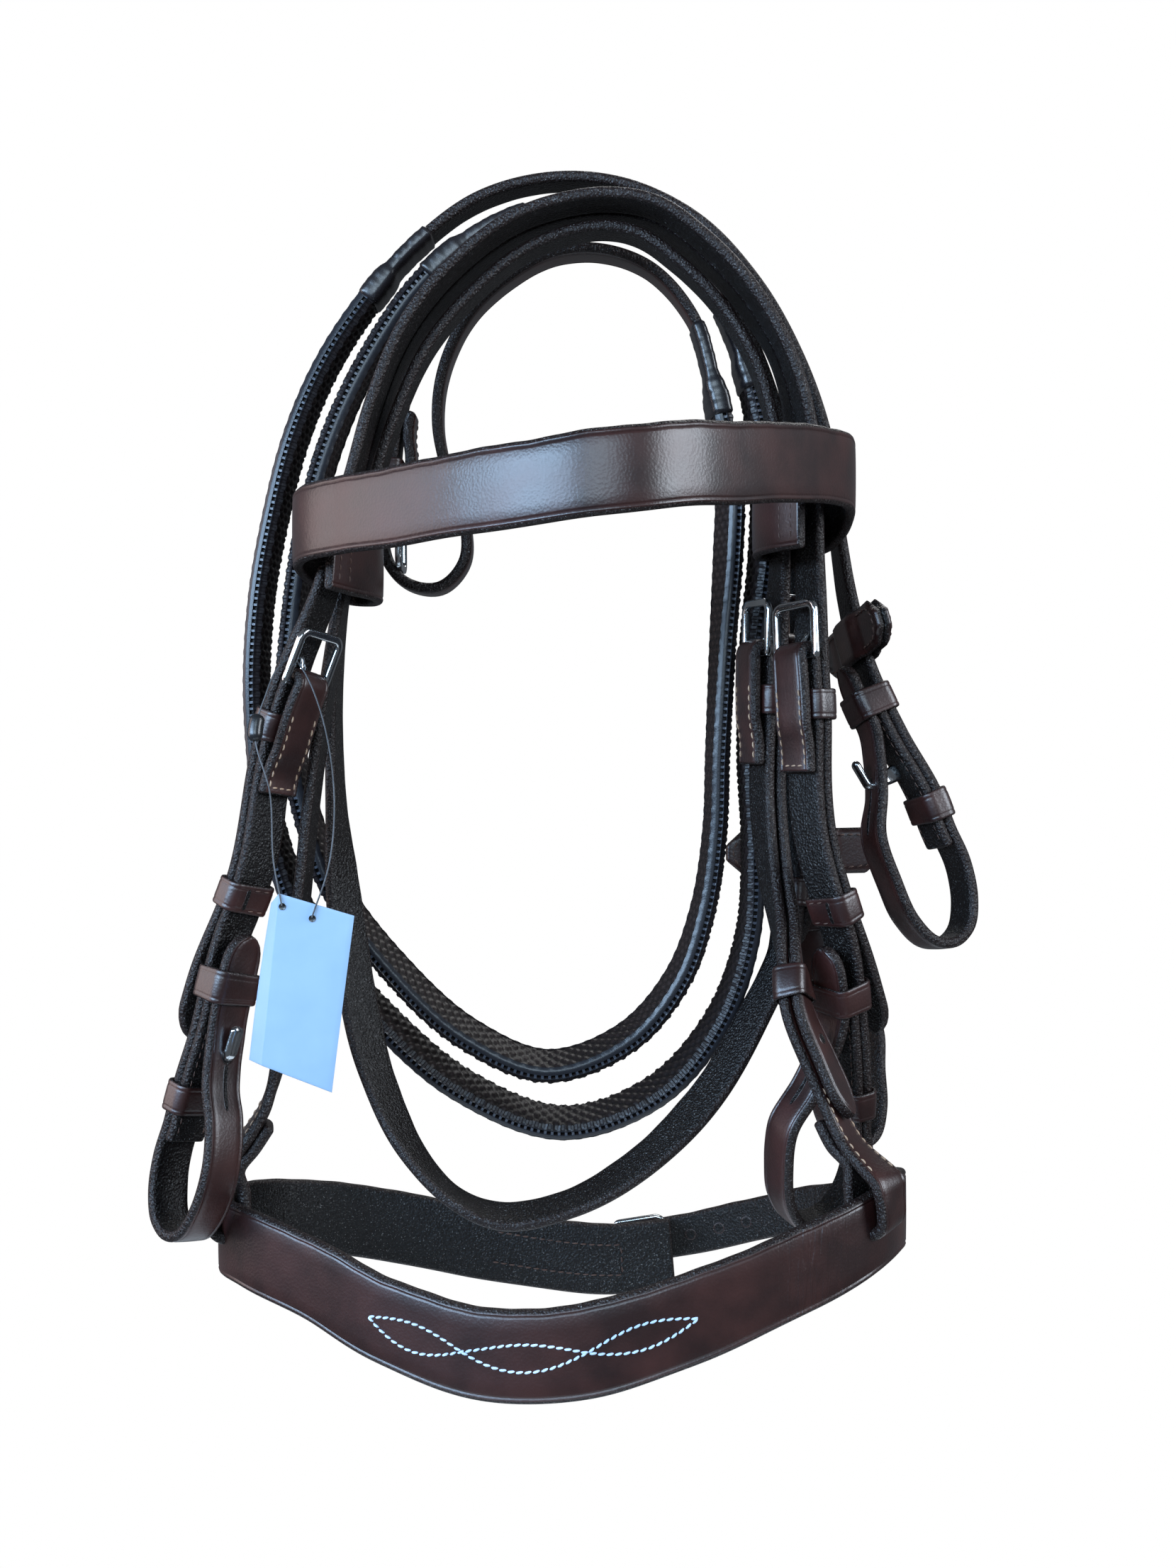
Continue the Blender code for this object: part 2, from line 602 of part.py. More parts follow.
CHIN_ROUTE = (
    (10.05, -3.2, -34.2), (10.05, -1.9, -34.5), (9.8, -0.4, -34.8), (9.2, 1.1, -35.1),
    (8.1, 2.7, -35.6), (6.2, 4.2, -36.4), (3.6, 5.1, -37.2), (1.2, 5.3, -37.65), (-1.4, 5.3, -38.0),
    (-4.0, 5.2, -38.1))
REIN_CENTRE = (
    (4.4, 0.8, -4.6, 0), (3.5, 0.8, -1.8, 0), (1.9, 0.8, 0.0, 0), (0.1, 0.8, 0.62, 0),
    (-1.7, 0.8, 0.5, 0), (-3.4, 0.8, -0.4, 0), (-4.9, 0.8, -1.9, 0), (-5.8, 0.8, -4.0, 0),
    (-6.0, 0.8, -6.0, 0), (-5.5, 0.8, -8.4, 0), (-5.05, 0.8, -10.0, 0), (-5.2, 0.8, -11.3, 0),
    (-6.0, 0.8, -12.1, 0), (-7.0, 0.8, -11.9, 0), (-7.55, 0.8, -11.0, 0), (-7.7, 0.8, -9.8, 0),
    (-7.65, 0.8, -8.0, 0), (-7.5, 0.8, -6.2, 0), (-7.0, 0.8, -3.9, 0), (-5.9, 0.8, -1.7, 0),
    (-4.2, 0.8, 0.1, 0), (-2.2, 0.8, 1.1, 0), (0.1, 0.8, 1.4, 0), (2.0, 0.8, 0.9, 0),
    (3.8, 0.8, -0.8, 0), (4.9, 0.8, -2.7, 0))
REIN_ONE = (
    (5.6, 0.8, -4.7, 0), (6.15, 0.8, -8.0, 0), (6.15, 0.8, -10.7, 0), (5.85, 0.8, -14.0, 0),
    (5.65, 0.8, -18.2, 0), (5.6, 0.8, -21.8, 0), (5.2, 0.8, -25.0, 0), (4.1, 0.8, -28.3, 0),
    (2.0, 0.8, -31.1, 0), (-1.3, 0.8, -32.3, 0), (-5.2, 0.8, -30.9, 0), (-8.3, 0.8, -28.3, 0),
    (-10.9, 0.8, -25.0, 0), (-12.4, 0.8, -21.3, 0), (-13.0, 0.8, -16.5, 0), (-12.8, 0.8, -12.5, 0),
    (-12.3, 0.8, -9.3, 0), (-11.6, 0.8, -6.3, 0), (-10.4, 0.8, -3.4, 0), (-8.7, 0.8, -0.8, 0),
    (-6.9, 0.8, 1.2, 0), (-4.6, 0.8, 2.8, 0), (-1.7, 0.8, 3.6, 0), (1.2, 0.8, 3.3, 0),
    (3.9, 0.8, 1.9, 0), (6.0, 0.8, -0.4, 0), (7.6, 0.8, -3.3, 0), (8.7, 0.8, -6.6, 0),
    (9.2, 0.7, -10.3, -4), (9.55, 0.35, -12.8, -10), (10.1, 0.0, -14.9, -14),
    (11.15, -0.35, -17.4, -18), (12.3, -0.6, -19.6, -20), (12.85, -0.6, -21.0, -20))
REIN_TWO = (
    (4.0, 0.8, -4.7, 0), (4.75, 0.8, -8.0, 0), (4.85, 0.8, -10.7, 0), (4.65, 0.8, -14.0, 0),
    (4.4, 0.8, -18.2, 0), (4.2, 0.8, -21.0, 0), (3.6, 0.8, -24.0, 0), (2.7, 0.8, -26.6, 0),
    (0.9, 0.8, -29.0, 0), (-1.9, 0.8, -30.1, 0), (-5.0, 0.8, -28.9, 0), (-7.9, 0.8, -26.3, 0),
    (-10.1, 0.8, -23.2, 0), (-11.3, 0.8, -19.9, 0), (-11.8, 0.8, -16.5, 0), (-11.6, 0.8, -13.2, 0),
    (-11.1, 0.8, -9.8, 0), (-10.2, 0.8, -6.3, 0), (-8.7, 0.8, -3.1, 0), (-6.8, 0.8, -0.4, 0),
    (-4.2, 0.8, 1.7, 0), (-1.5, 0.8, 2.6, 0), (1.1, 0.8, 2.3, 0), (3.4, 1.0, 0.9, 0),
    (5.2, 1.5, -1.4, -4), (6.5, 2.1, -4.4, -10), (7.3, 2.5, -8.2, -20), (7.7, 2.7, -12.5, -40),
    (7.9, 2.8, -16.5, -70), (7.9, 2.9, -20.0, -86), (8.0, 2.9, -23.5, -86),
    (8.4, 2.8, -27.0, -60), (8.6, 2.6, -29.6, -35))

REAR_ACROSS = CROWN_WIDTH - STRAP_WIDTH


def rows_of(path, *lengths):
    """Route rows, in GRID steps, at lengths along a path."""
    out = []
    for s in lengths:
        p, t, w, n = path.at(s)
        out.append((*(p / GRID), *w))
    return out


def six(rows):
    """Route rows with every width direction written as a vector."""
    return [r if len(r) == 6 else (*r[:3], *side(r[3])) for r in rows]


def extend(path, s_cut, rows):
    """Path kept up to s_cut and led on smoothly through more rows."""
    lead = rows_of(path, s_cut - 2 * LEAD_STEP, s_cut - LEAD_STEP, s_cut)
    more = spline(lead + six(rows), path.sign)
    begin = nearest(more, path.at(s_cut)[0])
    return join(path.cut(0.0, s_cut), more.cut(begin + GAP, more.length))


def nearest(path, point):
    """Length at which the path passes closest to a point."""
    a, run = path.p[:-1], np.diff(path.p, axis=0)
    k = np.clip(np.sum((point - a) * run, axis=1) / np.sum(run * run, axis=1), 0.0, 1.0)
    i = int(np.argmin(np.linalg.norm(a + run * k[:, None] - point, axis=1)))
    return float(path.s[i] + k[i] * (path.s[i + 1] - path.s[i]))


def pierced(billet, host, s_bar):
    """Hole in the billet that the tongue goes through, beside a buckle on the host strap."""
    s = nearest(billet, host.at(s_bar)[0])
    return (s - BUCKLE_LONG * PIERCE_SHARES[1], s - BUCKLE_LONG * PIERCE_SHARES[0])


def slot_at(fold_at):
    """Slot for the tongue, over the fold of a turned-back strap."""
    return (fold_at - math.pi * BAR_OFF - SLOT_LEG, fold_at + SLOT_LEG)


def rolled(rows):
    return [r if len(r) == 6 else (*r[:3], *UP) for r in rows]


# Crown: one wide strap over the poll that splits into two on each side
crown = spline(CROWN_ROUTE)
top = crown.length * HALF_SHARE
s_left, s_right = crown.level(SPLIT_LEFT), crown.level(SPLIT_RIGHT, top)
line_left = crown.cut(0.0, top).back()
line_right = crown.cut(top, crown.length)
left_start, right_start = top - s_left, s_right - top


def rear_point(s, across):
    p, t, w, n = crown.at(s)
    return (*((p + w * across) / GRID), *w)


def branch(s_from, s_to, rows, sign):
    """Path that leaves the rear half of the crown at s_from, past s_to."""
    lead = [rear_point(s_to + (s_from - s_to) * k, REAR_ACROSS) for k in (0, 0.5, 1)]
    path = spline(lead + rows, sign)
    begin = nearest(path, np.array(lead[-1][:3]) * GRID)
    return path.cut(begin, path.length)


rear_right = branch(s_right, s_right - BRANCH_LEAD, six(CROWN_REAR_RIGHT), 1.0)
throat_host = rear_right.shift(-LAYER)
s_throat_bar = throat_host.level(THROAT_BAR)
throat_fold, throat_fold_at = folded(throat_host, s_throat_bar, TURNED_BACK)
end = throat_host.length
throat_rows = six(THROAT_LEFT) + rows_of(throat_host, end, end - LEAD_STEP)
throat_left = branch(s_left, s_left + BRANCH_LEAD, throat_rows, -1.0)
meet = nearest(throat_left, throat_host.at(end)[0])
throat = join(throat_left.cut(0.0, meet - GAP), throat_fold.back())
throat_slot = [throat.length - v for v in slot_at(throat_fold_at)][::-1]

place, cells = {}, []
cross = (-STRAP_WIDTH / 2, STRAP_WIDTH / 2, REAR_ACROSS - STRAP_WIDTH / 2, REAR_ACROSS + STRAP_WIDTH / 2)
poll = crown.stations(s_left, s_right)
for i, v in enumerate(poll):
    p, t, w, n = crown.at(v)
    for k, off in enumerate(cross):
        place[("poll", i, k)] = (p + w * off + n * STRAP_THICK / 2, p + w * off - n * STRAP_THICK / 2)
for i in range(len(poll) - 1):
    for k in range(3):
        cells.append((("poll", i, k), ("poll", i + 1, k), ("poll", i + 1, k + 1), ("poll", i, k + 1)))

host_left, host_right = line_left.shift(-LAYER), line_right.shift(-LAYER)
s_cheek_left, s_cheek_right = host_left.level(CHEEK_BAR_LEFT), host_right.level(CHEEK_BAR_RIGHT)
last = len(poll) - 1
for tag, path, begin, stop, keys, holes, flip in (
        ("left", line_left, left_start, line_left.length, (("poll", 0, 0), ("poll", 0, 1)),
         [pierced(line_left, host_left, s_cheek_left)], True),
        ("right", line_right, right_start, line_right.length, (("poll", last, 0), ("poll", last, 1)),
         [pierced(line_right, host_right, s_cheek_right)], False),
        ("throat", throat, 0.0, throat.length, (("poll", 0, 2), ("poll", 0, 3)), [throat_slot], True),
        ("rear", rear_right, 0.0, rear_right.length, (("poll", last, 2), ("poll", last, 3)),
         [pierced(rear_right, throat_host, s_throat_bar)], False)):
    tips = ("square", "square" if tag == "throat" else "point")
    more, new = ribbon(tag, path, begin, stop, tips=tips, holes=holes, first=keys)
    place.update({k: v for k, v in more.items() if k[1] > 0})
    cells += [tuple(reversed(c)) for c in new] if flip else new
thick_sheet("crown_headpiece", cells, place, "leather")
buckle("throatlatch", throat_host, s_throat_bar, STRAP_WIDTH)
keeper("throatlatch_keeper", throat_host, s_throat_bar + KEEPER_BELOW, -STRAP_THICK / 2,
       LAYER + STRAP_THICK / 2)
keeper("throatlatch_running_keeper", throat_host, throat_host.length - RUNNER_UP,
       -STRAP_THICK / 2, LAYER + STRAP_THICK / 2)


def keeper_marks(*places):
    """Cross-sections that a strap shares with the keepers round it."""
    return [v + way * KEEPER_HIGH / 2 for v in places for way in (-1, 0, 1)]


# Cheekpieces: turned round the buckle bar above, round the bit and back to a hook stud below
def cheekpiece(label, host, s_bar, level, more, wide, returns):
    s_cut = host.level(level)
    host = extend(host, s_cut, more)
    s_bit = host.length
    buckle("cheek_" + label, host, s_bar, STRAP_WIDTH)
    whole, s0 = bit_end(host, s_bit, CHEEK_LOOP_LONG, wide, returns)
    path, fold_at = folded(whole, s_bar, TURNED_BACK)
    ahead = fold_at - s_bar
    stud = s0 - STUD_UP
    over = nearest(path.cut(ahead + s0 + wide, path.length),
                   host.at(stud)[0] - host.at(stud)[3] * STRAP_WIDTH)
    over += ahead + s0 + wide
    places = (s_bar + KEEPER_BELOW, s0 - UPPER_UP, s0 - TIP_UP, s0 - LOWER_UP)
    beside = over + TIP_UP - STUD_UP
    strap("cheekpiece_" + label, path, 0.0, path.length, tips=("square", "point"),
          holes=[slot_at(fold_at), (over - STUD_SLOT / 2, over + STUD_SLOT / 2)],
          pads=[(ahead + s0 - PAD_UP, ahead + s0 + PAD_DOWN)],
          marks=keeper_marks(*[ahead + v for v in places], beside))
    p, t, w, n = path.at(over)
    q, _, _, m = host.at(stud)
    reach = abs(float(np.dot(q - p, m)))
    hook_stud("cheek_" + label + "_hook_stud", host, stud, STRAP_THICK * 1.5, reach)
    base = -STRAP_THICK / 2
    keeper("cheek_" + label + "_keeper_buckle", host, s_bar + KEEPER_BELOW, base, LAYER - base)
    keeper("cheek_" + label + "_keeper_upper", host, s0 - UPPER_UP, base, LAYER - base)
    keeper("cheek_" + label + "_keeper_tip", host, s0 - TIP_UP, -2 * LAYER + base, -base)
    keeper("cheek_" + label + "_keeper_lower", host, s0 - LOWER_UP, base - STRAP_THICK, -base)


CHEEK_LEFT_MORE = ((-13.1, -3.95, -25.9, 42), (-13.6, -3.9, -27.9, 42), (-14.15, -3.85, -29.7, 42),
                   (-14.5, -3.8, -31.0, 42))
CHEEK_RIGHT_MORE = ((8.6, -3.2, -25.4, -36), (9.0, -2.5, -28.0, -30), (9.2, -2.0, -30.0, -27),
                    (9.25, -1.6, -31.4, -26))
LEFT_RETURN = ((0.6, 2.15), (1.7, 1.5), (2.9, 1.08))
RIGHT_RETURN = ((0.6, 3.1), (1.8, 2.2), (3.0, 1.4))
REIN_RETURN = ((0.7, 2.7), (2.2, 1.9), (3.4, 1.2))
LEFT_REST, RIGHT_REST, REIN_REST = (4.1, 5.3, 6.2, 7.0), (4.2, 5.3, 6.2, 7.0), (4.3, 5.2, 6.8)


def returning(rows, rest, layer):
    """Rows of a returning strap: those given, in GRID steps, and then at rest on the stack."""
    out = [(back, off * GRID) for back, off in rows] + [(rest[0], 2 * layer + RETURN_SLACK)]
    return out + [(back, 2 * layer) for back in rest[1:]]


cheekpiece("left", host_left, s_cheek_left, CHEEK_CUT_LEFT, CHEEK_LEFT_MORE, LOOP_WIDE_LEFT,
           returning(LEFT_RETURN, LEFT_REST, LAYER))
cheekpiece("right", host_right, s_cheek_right, CHEEK_CUT_RIGHT, CHEEK_RIGHT_MORE, LOOP_WIDE_RIGHT,
           returning(RIGHT_RETURN, RIGHT_REST, LAYER))

# Noseband: a band round the nose with a slit at each side for its head strap
nose = spline(rolled(NOSE_ROUTE))


def nose_width(s):
    """The band is deeper in the middle of the front and dips there."""
    away = abs(s - nose_front) / NOSE_SWELL_LONG
    return NOSE_WIDTH * (1.0 + NOSE_SWELL_SHARE * math.exp(-away * away))


nose_front = nose.level(NOSE_MIDDLE, nose.length * EARLY_SHARE, axis=0)
slit_left = nose.level(NOSE_SLIT_LEFT, axis=1)
slit_right = nose.level(NOSE_SLIT_RIGHT, nose_front, axis=0)
SLIT_HALF = STRAP_WIDTH / 2 + SLIT_CLEAR
strap("noseband_front", nose, 0.0, nose.length, nose_width, NOSE_THICK, hole_wide=SLIT_HIGH,
      holes=[(v - SLIT_HALF, v + SLIT_HALF) for v in (slit_left, slit_right)])


WRAP_SHARES = (0.62, 0.40, 0.58)


def wrap_end(path, s_band, flip):
    """Strap path led through the band's slit from outside and back up its inner side."""
    p, t, w, n = nose.at(s_band)
    off = NOSE_THICK / 2 + WRAP_CLEAR + STRAP_THICK / 2
    across = -t if flip else t
    above, edge, inside = (w * NOSE_WIDTH * k for k in WRAP_SHARES)
    lead = extend(path, path.length - LEAD_STEP, [(*((p + above + n * off) / GRID), *across)])
    pts = [p + edge + n * off]
    for a in np.linspace(0, math.pi, 9):
        pts.append(p + w * off * (1 - math.sin(a)) + n * off * math.cos(a))
    pts += [p + edge - n * off, p + inside - n * off]
    wid = [across] * len(pts)
    back_rows = [(*(q / GRID), *across) for q in pts[-2:]]
    for up in (WRAP_CLOSE, WRAP_CLOSE + WRAP_LONG / 2, WRAP_CLOSE + WRAP_LONG):
        q, _, v, m = lead.at(lead.length - up)
        back_rows.append((*((q - m * LAYER) / GRID), *v))
    back = spline(back_rows, path.sign)
    mid = Path(pts[:-1], wid[:-1], path.sign)
    return Path(np.vstack([lead.p, mid.p, back.p[1:]]), np.vstack([lead.w, mid.w, back.w[1:]]), path.sign)


NOSE_CHEEK_MORE = ((8.85, -5.9, -32.1, 31),)
head = spline(HEAD_ROUTE)
mid_head = head.length * HALF_SHARE
billet = head.cut(mid_head, head.length)
nose_step = STRAP_THICK + GAP + NOSE_STEP_CLEAR
nose_host = billet.shift(-nose_step)
s_nose_bar = nose_host.level(NOSE_BAR)
nose_host = extend(nose_host, nose_host.length, NOSE_CHEEK_MORE)
buckle("noseband", nose_host, s_nose_bar, STRAP_WIDTH)
keeper("noseband_keeper", nose_host, s_nose_bar + KEEPER_BELOW, -STRAP_THICK / 2,
       nose_step + STRAP_THICK / 2)
keeper("noseband_keeper_tip", nose_host, nose_host.level(NOSE_KEEPER_TIP), -STRAP_THICK / 2,
       nose_step + STRAP_THICK / 2)
wrapped = wrap_end(nose_host, slit_right, False)
nose_cheek, nose_fold_at = folded(wrapped, s_nose_bar, TURNED_BACK)
strap("noseband_cheek_strap", nose_cheek, 0.0, nose_cheek.length, holes=[slot_at(nose_fold_at)])

left_down = head.cut(0.0, mid_head).back()
left_wrapped = wrap_end(left_down, slit_left, True)
head_strap = join(billet.back(), left_wrapped)
pierce = pierced(billet, nose_host, s_nose_bar)
strap("noseband_head_strap", head_strap, 0.0, head_strap.length, tips=("point", "square"),
      holes=[(billet.length - pierce[1], billet.length - pierce[0])])

# Chin strap: the tapered end of the band's right side, closed by a buckle behind
chin = spline(rolled(CHIN_ROUTE))
chin_host = chin.shift(-LAYER)
s_chin_bar = chin_host.level(CHIN_BAR, axis=0)
chin_hole = pierced(chin, chin_host, s_chin_bar)
spare = [(chin_hole[0] - k * CHIN_HOLE_STEP, chin_hole[0] - k * CHIN_HOLE_STEP + HOLE_WIDE)
         for k in range(1, 5)]
strap("chin_strap", chin, 0.0, chin.length, CHIN_WIDTH, tips=("square", "point"),
      holes=[chin_hole, *spare])
buckle("chin", chin_host, s_chin_bar, CHIN_WIDTH)
chin_chape, chin_fold_at = folded(chin_host, s_chin_bar, CHAPE_LONG, close=2 * BAR_OFF)
strap("chin_buckle_chape", chin_chape, 0.0, chin_fold_at + CHAPE_SHORT, CHIN_WIDTH,
      holes=[slot_at(chin_fold_at)])
keeper("chin_keeper", chin_host, s_chin_bar + KEEPER_BELOW, -STRAP_THICK / 2,
       LAYER + STRAP_THICK / 2, CHIN_WIDTH)

# Browband: its ends turn back round the straps of the crown
brow = spline(rolled(BROW_ROUTE))
strap("browband", brow, 0.0, brow.length, BROW_WIDTH, BROW_THICK)

# Reins: leather at both ends, a rubber grip between, joined by a buckle in the middle
centre = spline(REIN_CENTRE + REIN_ONE)
s_rein_bar = centre.level(REIN_BAR, centre.level(REIN_LOOP_LOW))
buckle("rein", centre, s_rein_bar, REIN_WIDTH)
rein_fold, rein_fold_at = folded(centre, s_rein_bar, TURNED_BACK)
ahead = rein_fold_at - s_rein_bar


def rein_sleeves(label, path, first, second):
    """Two sleeves and the grip between them; each span runs from the leather to the grip."""
    sizes = [(0.0, REIN_WIDTH + 2 * GAP, REIN_THICK + 2 * GAP, SLEEVE_WALL),
             (SLEEVE_STEP_SHARE, REIN_WIDTH + 2 * GAP, REIN_THICK + 2 * GAP, SLEEVE_WALL),
             (SLEEVE_GRIP_SHARE, GRIP_WIDTH + 2 * GAP, GRIP_THICK + 2 * GAP, SLEEVE_WALL),
             (1.0, GRIP_WIDTH + 2 * GAP, GRIP_THICK + 2 * GAP, SLEEVE_WALL)]
    back = [(1 - r[0], *r[1:]) for r in reversed(sizes)]
    a0, a1 = first
    b0, b1 = second
    tube(label + "_sleeve_buckle_end", path, a0, a1, sizes, "sleeve")
    tube(label + "_sleeve_bit_end", path, b0, b1, back, "sleeve")
    start = a0 + (a1 - a0) * SLEEVE_GRIP_SHARE + GAP
    stop = b1 - (b1 - b0) * SLEEVE_GRIP_SHARE - GAP
    rod(label + "_grip", path, start, stop, GRIP_WIDTH / 2, GRIP_THICK / 2, "rubber")
    return a0 + (a1 - a0) * SLEEVE_STEP_SHARE - GAP, b1 - (b1 - b0) * SLEEVE_STEP_SHARE + GAP


# Shares of half length, layers, height, hollow width and hollow depth, from an end to the middle
STOP_SHARES = ((1.0, 0.0, 0.30, 1.0, 0.0), (0.86, 0.667, 0.66, 1.0, 0.5), (0.60, 0.667, 1.0, 1.0, 1.0),
               (0.30, 0.967, 1.0, 0.48, 1.0), (0.0, 1.0, 1.0, 0.0, 1.0))


def rein_stop(label, path, s):
    """Doubled leather bar across the rein, stitched at its ends, that slides along it."""
    p, t, w, n = path.at(s)
    layers = REIN_THICK / 2 + GAP + STOP_LAYER
    hollow, deep, half = REIN_WIDTH / 2 + GAP, REIN_THICK / 2 + STOP_CLEAR, STOP_LONG / 2
    loop = [*STOP_SHARES, *[(-a, b, c, -d, e) for a, b, c, d, e in reversed(STOP_SHARES[:-1])]]
    loop += [(a, -b, c, d, -e) for a, b, c, d, e in reversed(loop[1:-1])]
    loops = []
    for way in (-1, 0, 1):
        q, _, v, m = path.at(s + way * STOP_HIGH / 2)
        outer_pts = [p + w * a * half + n * b * layers + t * way * c * STOP_HIGH / 2
                     for a, b, c, _, _ in loop]
        inner_pts = [q + v * d * hollow + m * e * deep for _, _, _, d, e in loop]
        loops.append((outer_pts, inner_pts))
    ring_block(label + "_stop", loops, "leather")
    JOINT_NOTES[label + "_stop"] = (p, t)


def rein_bit_end(label, path, s_from, returns, long, wide):
    whole, s0 = bit_end(path, path.length, long, wide, returns)
    stud = s0 - REIN_STUD_UP
    after = s0 + 2 * wide
    tail = whole.cut(after, whole.length)
    over = after + nearest(tail, path.at(stud)[0] - path.at(stud)[3] * REIN_WIDTH)
    strap(label + "_bit_end", whole, s_from, whole.length, REIN_WIDTH, REIN_THICK,
          tips=("square", "point"), holes=[(over - STUD_SLOT / 2, over + STUD_SLOT / 2)],
          pads=[(s0 - REIN_PAD_UP, s0 + PAD_DOWN)],
          marks=keeper_marks(s0 - REIN_TIP_UP, s0 - LOWER_UP, over + REIN_TIP_UP - REIN_STUD_UP))
    reach = abs(float(np.dot(path.at(stud)[0] - whole.at(over)[0], path.at(stud)[3])))
    hook_stud(label + "_hook_stud", path, stud, REIN_THICK * 1.5, reach)
    base = -REIN_THICK / 2
    keeper(label + "_keeper_tip", path, s0 - REIN_TIP_UP, -2 * REIN_LAYER + base, -base, REIN_WIDTH)
    keeper(label + "_keeper_lower", path, s0 - LOWER_UP, base - REIN_THICK, -base, REIN_WIDTH)


up_leg = centre.level(SLEEVE_TURN, s_rein_bar)
a0, a1 = (centre.level(v, up_leg) for v in SLEEVE_ONE)
far = centre.level(REIN_SIDE_HIGH, a1)
rise = centre.level(RISE_ONE, centre.level(REIN_SIDE_LOW, far + REIN_RUN))
over_top = centre.level(SLEEVE_TURN, rise)
s_end_a, s_end_b = rein_sleeves("rein_one", centre, (a0, a1), (rise, over_top))
strap("rein_one_buckle_end", rein_fold, 0.0, s_end_a + ahead, REIN_WIDTH, REIN_THICK,
      holes=[slot_at(rein_fold_at)])
rein_rest = returning(REIN_RETURN, REIN_REST, REIN_LAYER)
rein_bit_end("rein_one", centre, s_end_b, rein_rest, LOOP_LONG_ONE, LOOP_WIDE_ONE)
rein_stop("rein_one", centre, centre.level(STOP_ONE, over_top))

second = spline(REIN_TWO)
centre_billet = centre.cut(0.0, s_rein_bar + BILLET_OVER).shift(REIN_LAYER)
hole = pierced(centre_billet, centre, s_rein_bar)
billet_two = centre_billet.back()
second_path = join(billet_two, second.cut(GAP, second.length))
lead = billet_two.length
sleeve_high, sleeve_low = SLEEVE_TWO
c0, c1 = second_path.level(sleeve_high, lead * LATE_SHARE), lead + second.level(sleeve_low)
rise_two = lead + second.level(RISE_TWO, second.length * EARLY_SHARE)
top_two = lead + second.level(REIN_TOP_TWO, second.length * EARLY_SHARE)
s_end_c, s_end_d = rein_sleeves("rein_two", second_path, (c0, c1), (rise_two, top_two))
strap("rein_two_buckle_end", second_path, 0.0, s_end_c, REIN_WIDTH, REIN_THICK, tips=("point", "square"),
      holes=[(lead - hole[1], lead - hole[0])])
rein_bit_end("rein_two", second_path, s_end_d, rein_rest, LOOP_LONG_TWO, LOOP_WIDE_TWO)
rein_stop("rein_two", second_path, second_path.level(STOP_TWO, top_two))
keeper("rein_keeper_buckle", centre, s_rein_bar + KEEPER_BELOW, -REIN_THICK / 2,
       REIN_LAYER + REIN_THICK / 2, REIN_WIDTH)

# Swing tag on a thin string with a bead lock
FOLD_TOP, FOLD_FOOT = np.array((-10.85, -6.4, -23.0)) * GRID, np.array((-11.3, -6.4, -28.7)) * GRID
FRONT_TOP, FRONT_FOOT = np.array((-8.2, -6.4, -23.7)) * GRID, np.array((-8.95, -6.4, -29.6)) * GRID
BACK_TOP = np.array((-11.2, -6.0, -23.1)) * GRID
BACK_FOOT_SHARES = (0.87, 0.9)
back_foot = BACK_TOP + (FOLD_FOOT - FOLD_TOP) * BACK_FOOT_SHARES[0]
back_foot = back_foot + (BACK_TOP - FOLD_TOP) * BACK_FOOT_SHARES[1]
front = np.array((0.0, -1.0, 0.0))
back = unit(np.cross(FOLD_FOOT - FOLD_TOP, BACK_TOP - FOLD_TOP))
back = back if back[1] < 0 else -back
place = {}
for i, row in enumerate(((BACK_TOP, FOLD_TOP, FRONT_TOP), (back_foot, FOLD_FOOT, FRONT_FOOT))):
    for k, q in enumerate(row):
        place[(i, k)] = (q, q - (back if k == 0 else front) * CARD_THICK)
thick_sheet("tag_card", [((0, k), (1, k), (1, k + 1), (0, k + 1)) for k in range(2)], place, "card")

STRING_ROUTE = (
    (-10.6, -6.50, -23.35, 0), (-10.9, -6.35, -21.9, 0), (-11.05, -6.2, -19.6, 0),
    (-11.6, -5.9, -17.6, 0), (-11.3, -5.6, -16.3, 0), (-10.95, -5.35, -15.4, 0),
    (-10.5, -5.0, -15.0, 0), (-10.1, -5.3, -15.4, 0), (-9.4, -5.8, -16.9, 0), (-8.9, -6.2, -19.6, 0),
    (-9.05, -6.35, -22.0, 0), (-9.6, -6.50, -23.75, 0))
string = spline(STRING_ROUTE)
curve = bpy.data.curves.new("tag_string", "CURVE")
curve.dimensions = "3D"
curve.bevel_depth = STRING_RADIUS
curve.bevel_resolution = 1
curve.render_resolution_u = 0
curve.use_fill_caps = True
line = curve.splines.new("POLY")
knots = [string.at(v)[0] for v in np.linspace(0, string.length, STRING_STEPS)]
line.points.add(len(knots) - 1)
for point, q in zip(line.points, knots):
    point.co = (*map(float, q), 1.0)
curve.materials.append(MATERIALS["string"])
string_object = bpy.data.objects.new("tag_string", curve)
bpy.context.collection.objects.link(string_object)

s_bead = string.level(BEAD_PLACE)
loops = []
for v, share in ((-1.0, 0.55), (-0.7, 0.95), (0.0, 1.0), (0.7, 0.95), (1.0, 0.55)):
    p, t, w, n = string.at(s_bead + v * BEAD_LONG / 2)
    ring = [(math.cos(a), math.sin(a)) for a in np.arange(8) * math.pi / 4]
    loops.append(([p + (w * a + n * b) * BEAD_RADIUS * share for a, b in ring],
                  [p + (w * a + n * b) * BEAD_HOLE for a, b in ring]))
ring_block("tag_bead", loops, "sleeve")

total = sum(len(p.vertices) - 2 for ob in bpy.data.objects if ob.type == "MESH" for p in ob.data.polygons)
print("nodes", len(bpy.data.objects), "triangles", total)
for name, (spot, axis) in JOINT_NOTES.items():
    print("joint", name, [round(float(v), 5) for v in spot], [round(float(v), 4) for v in axis])
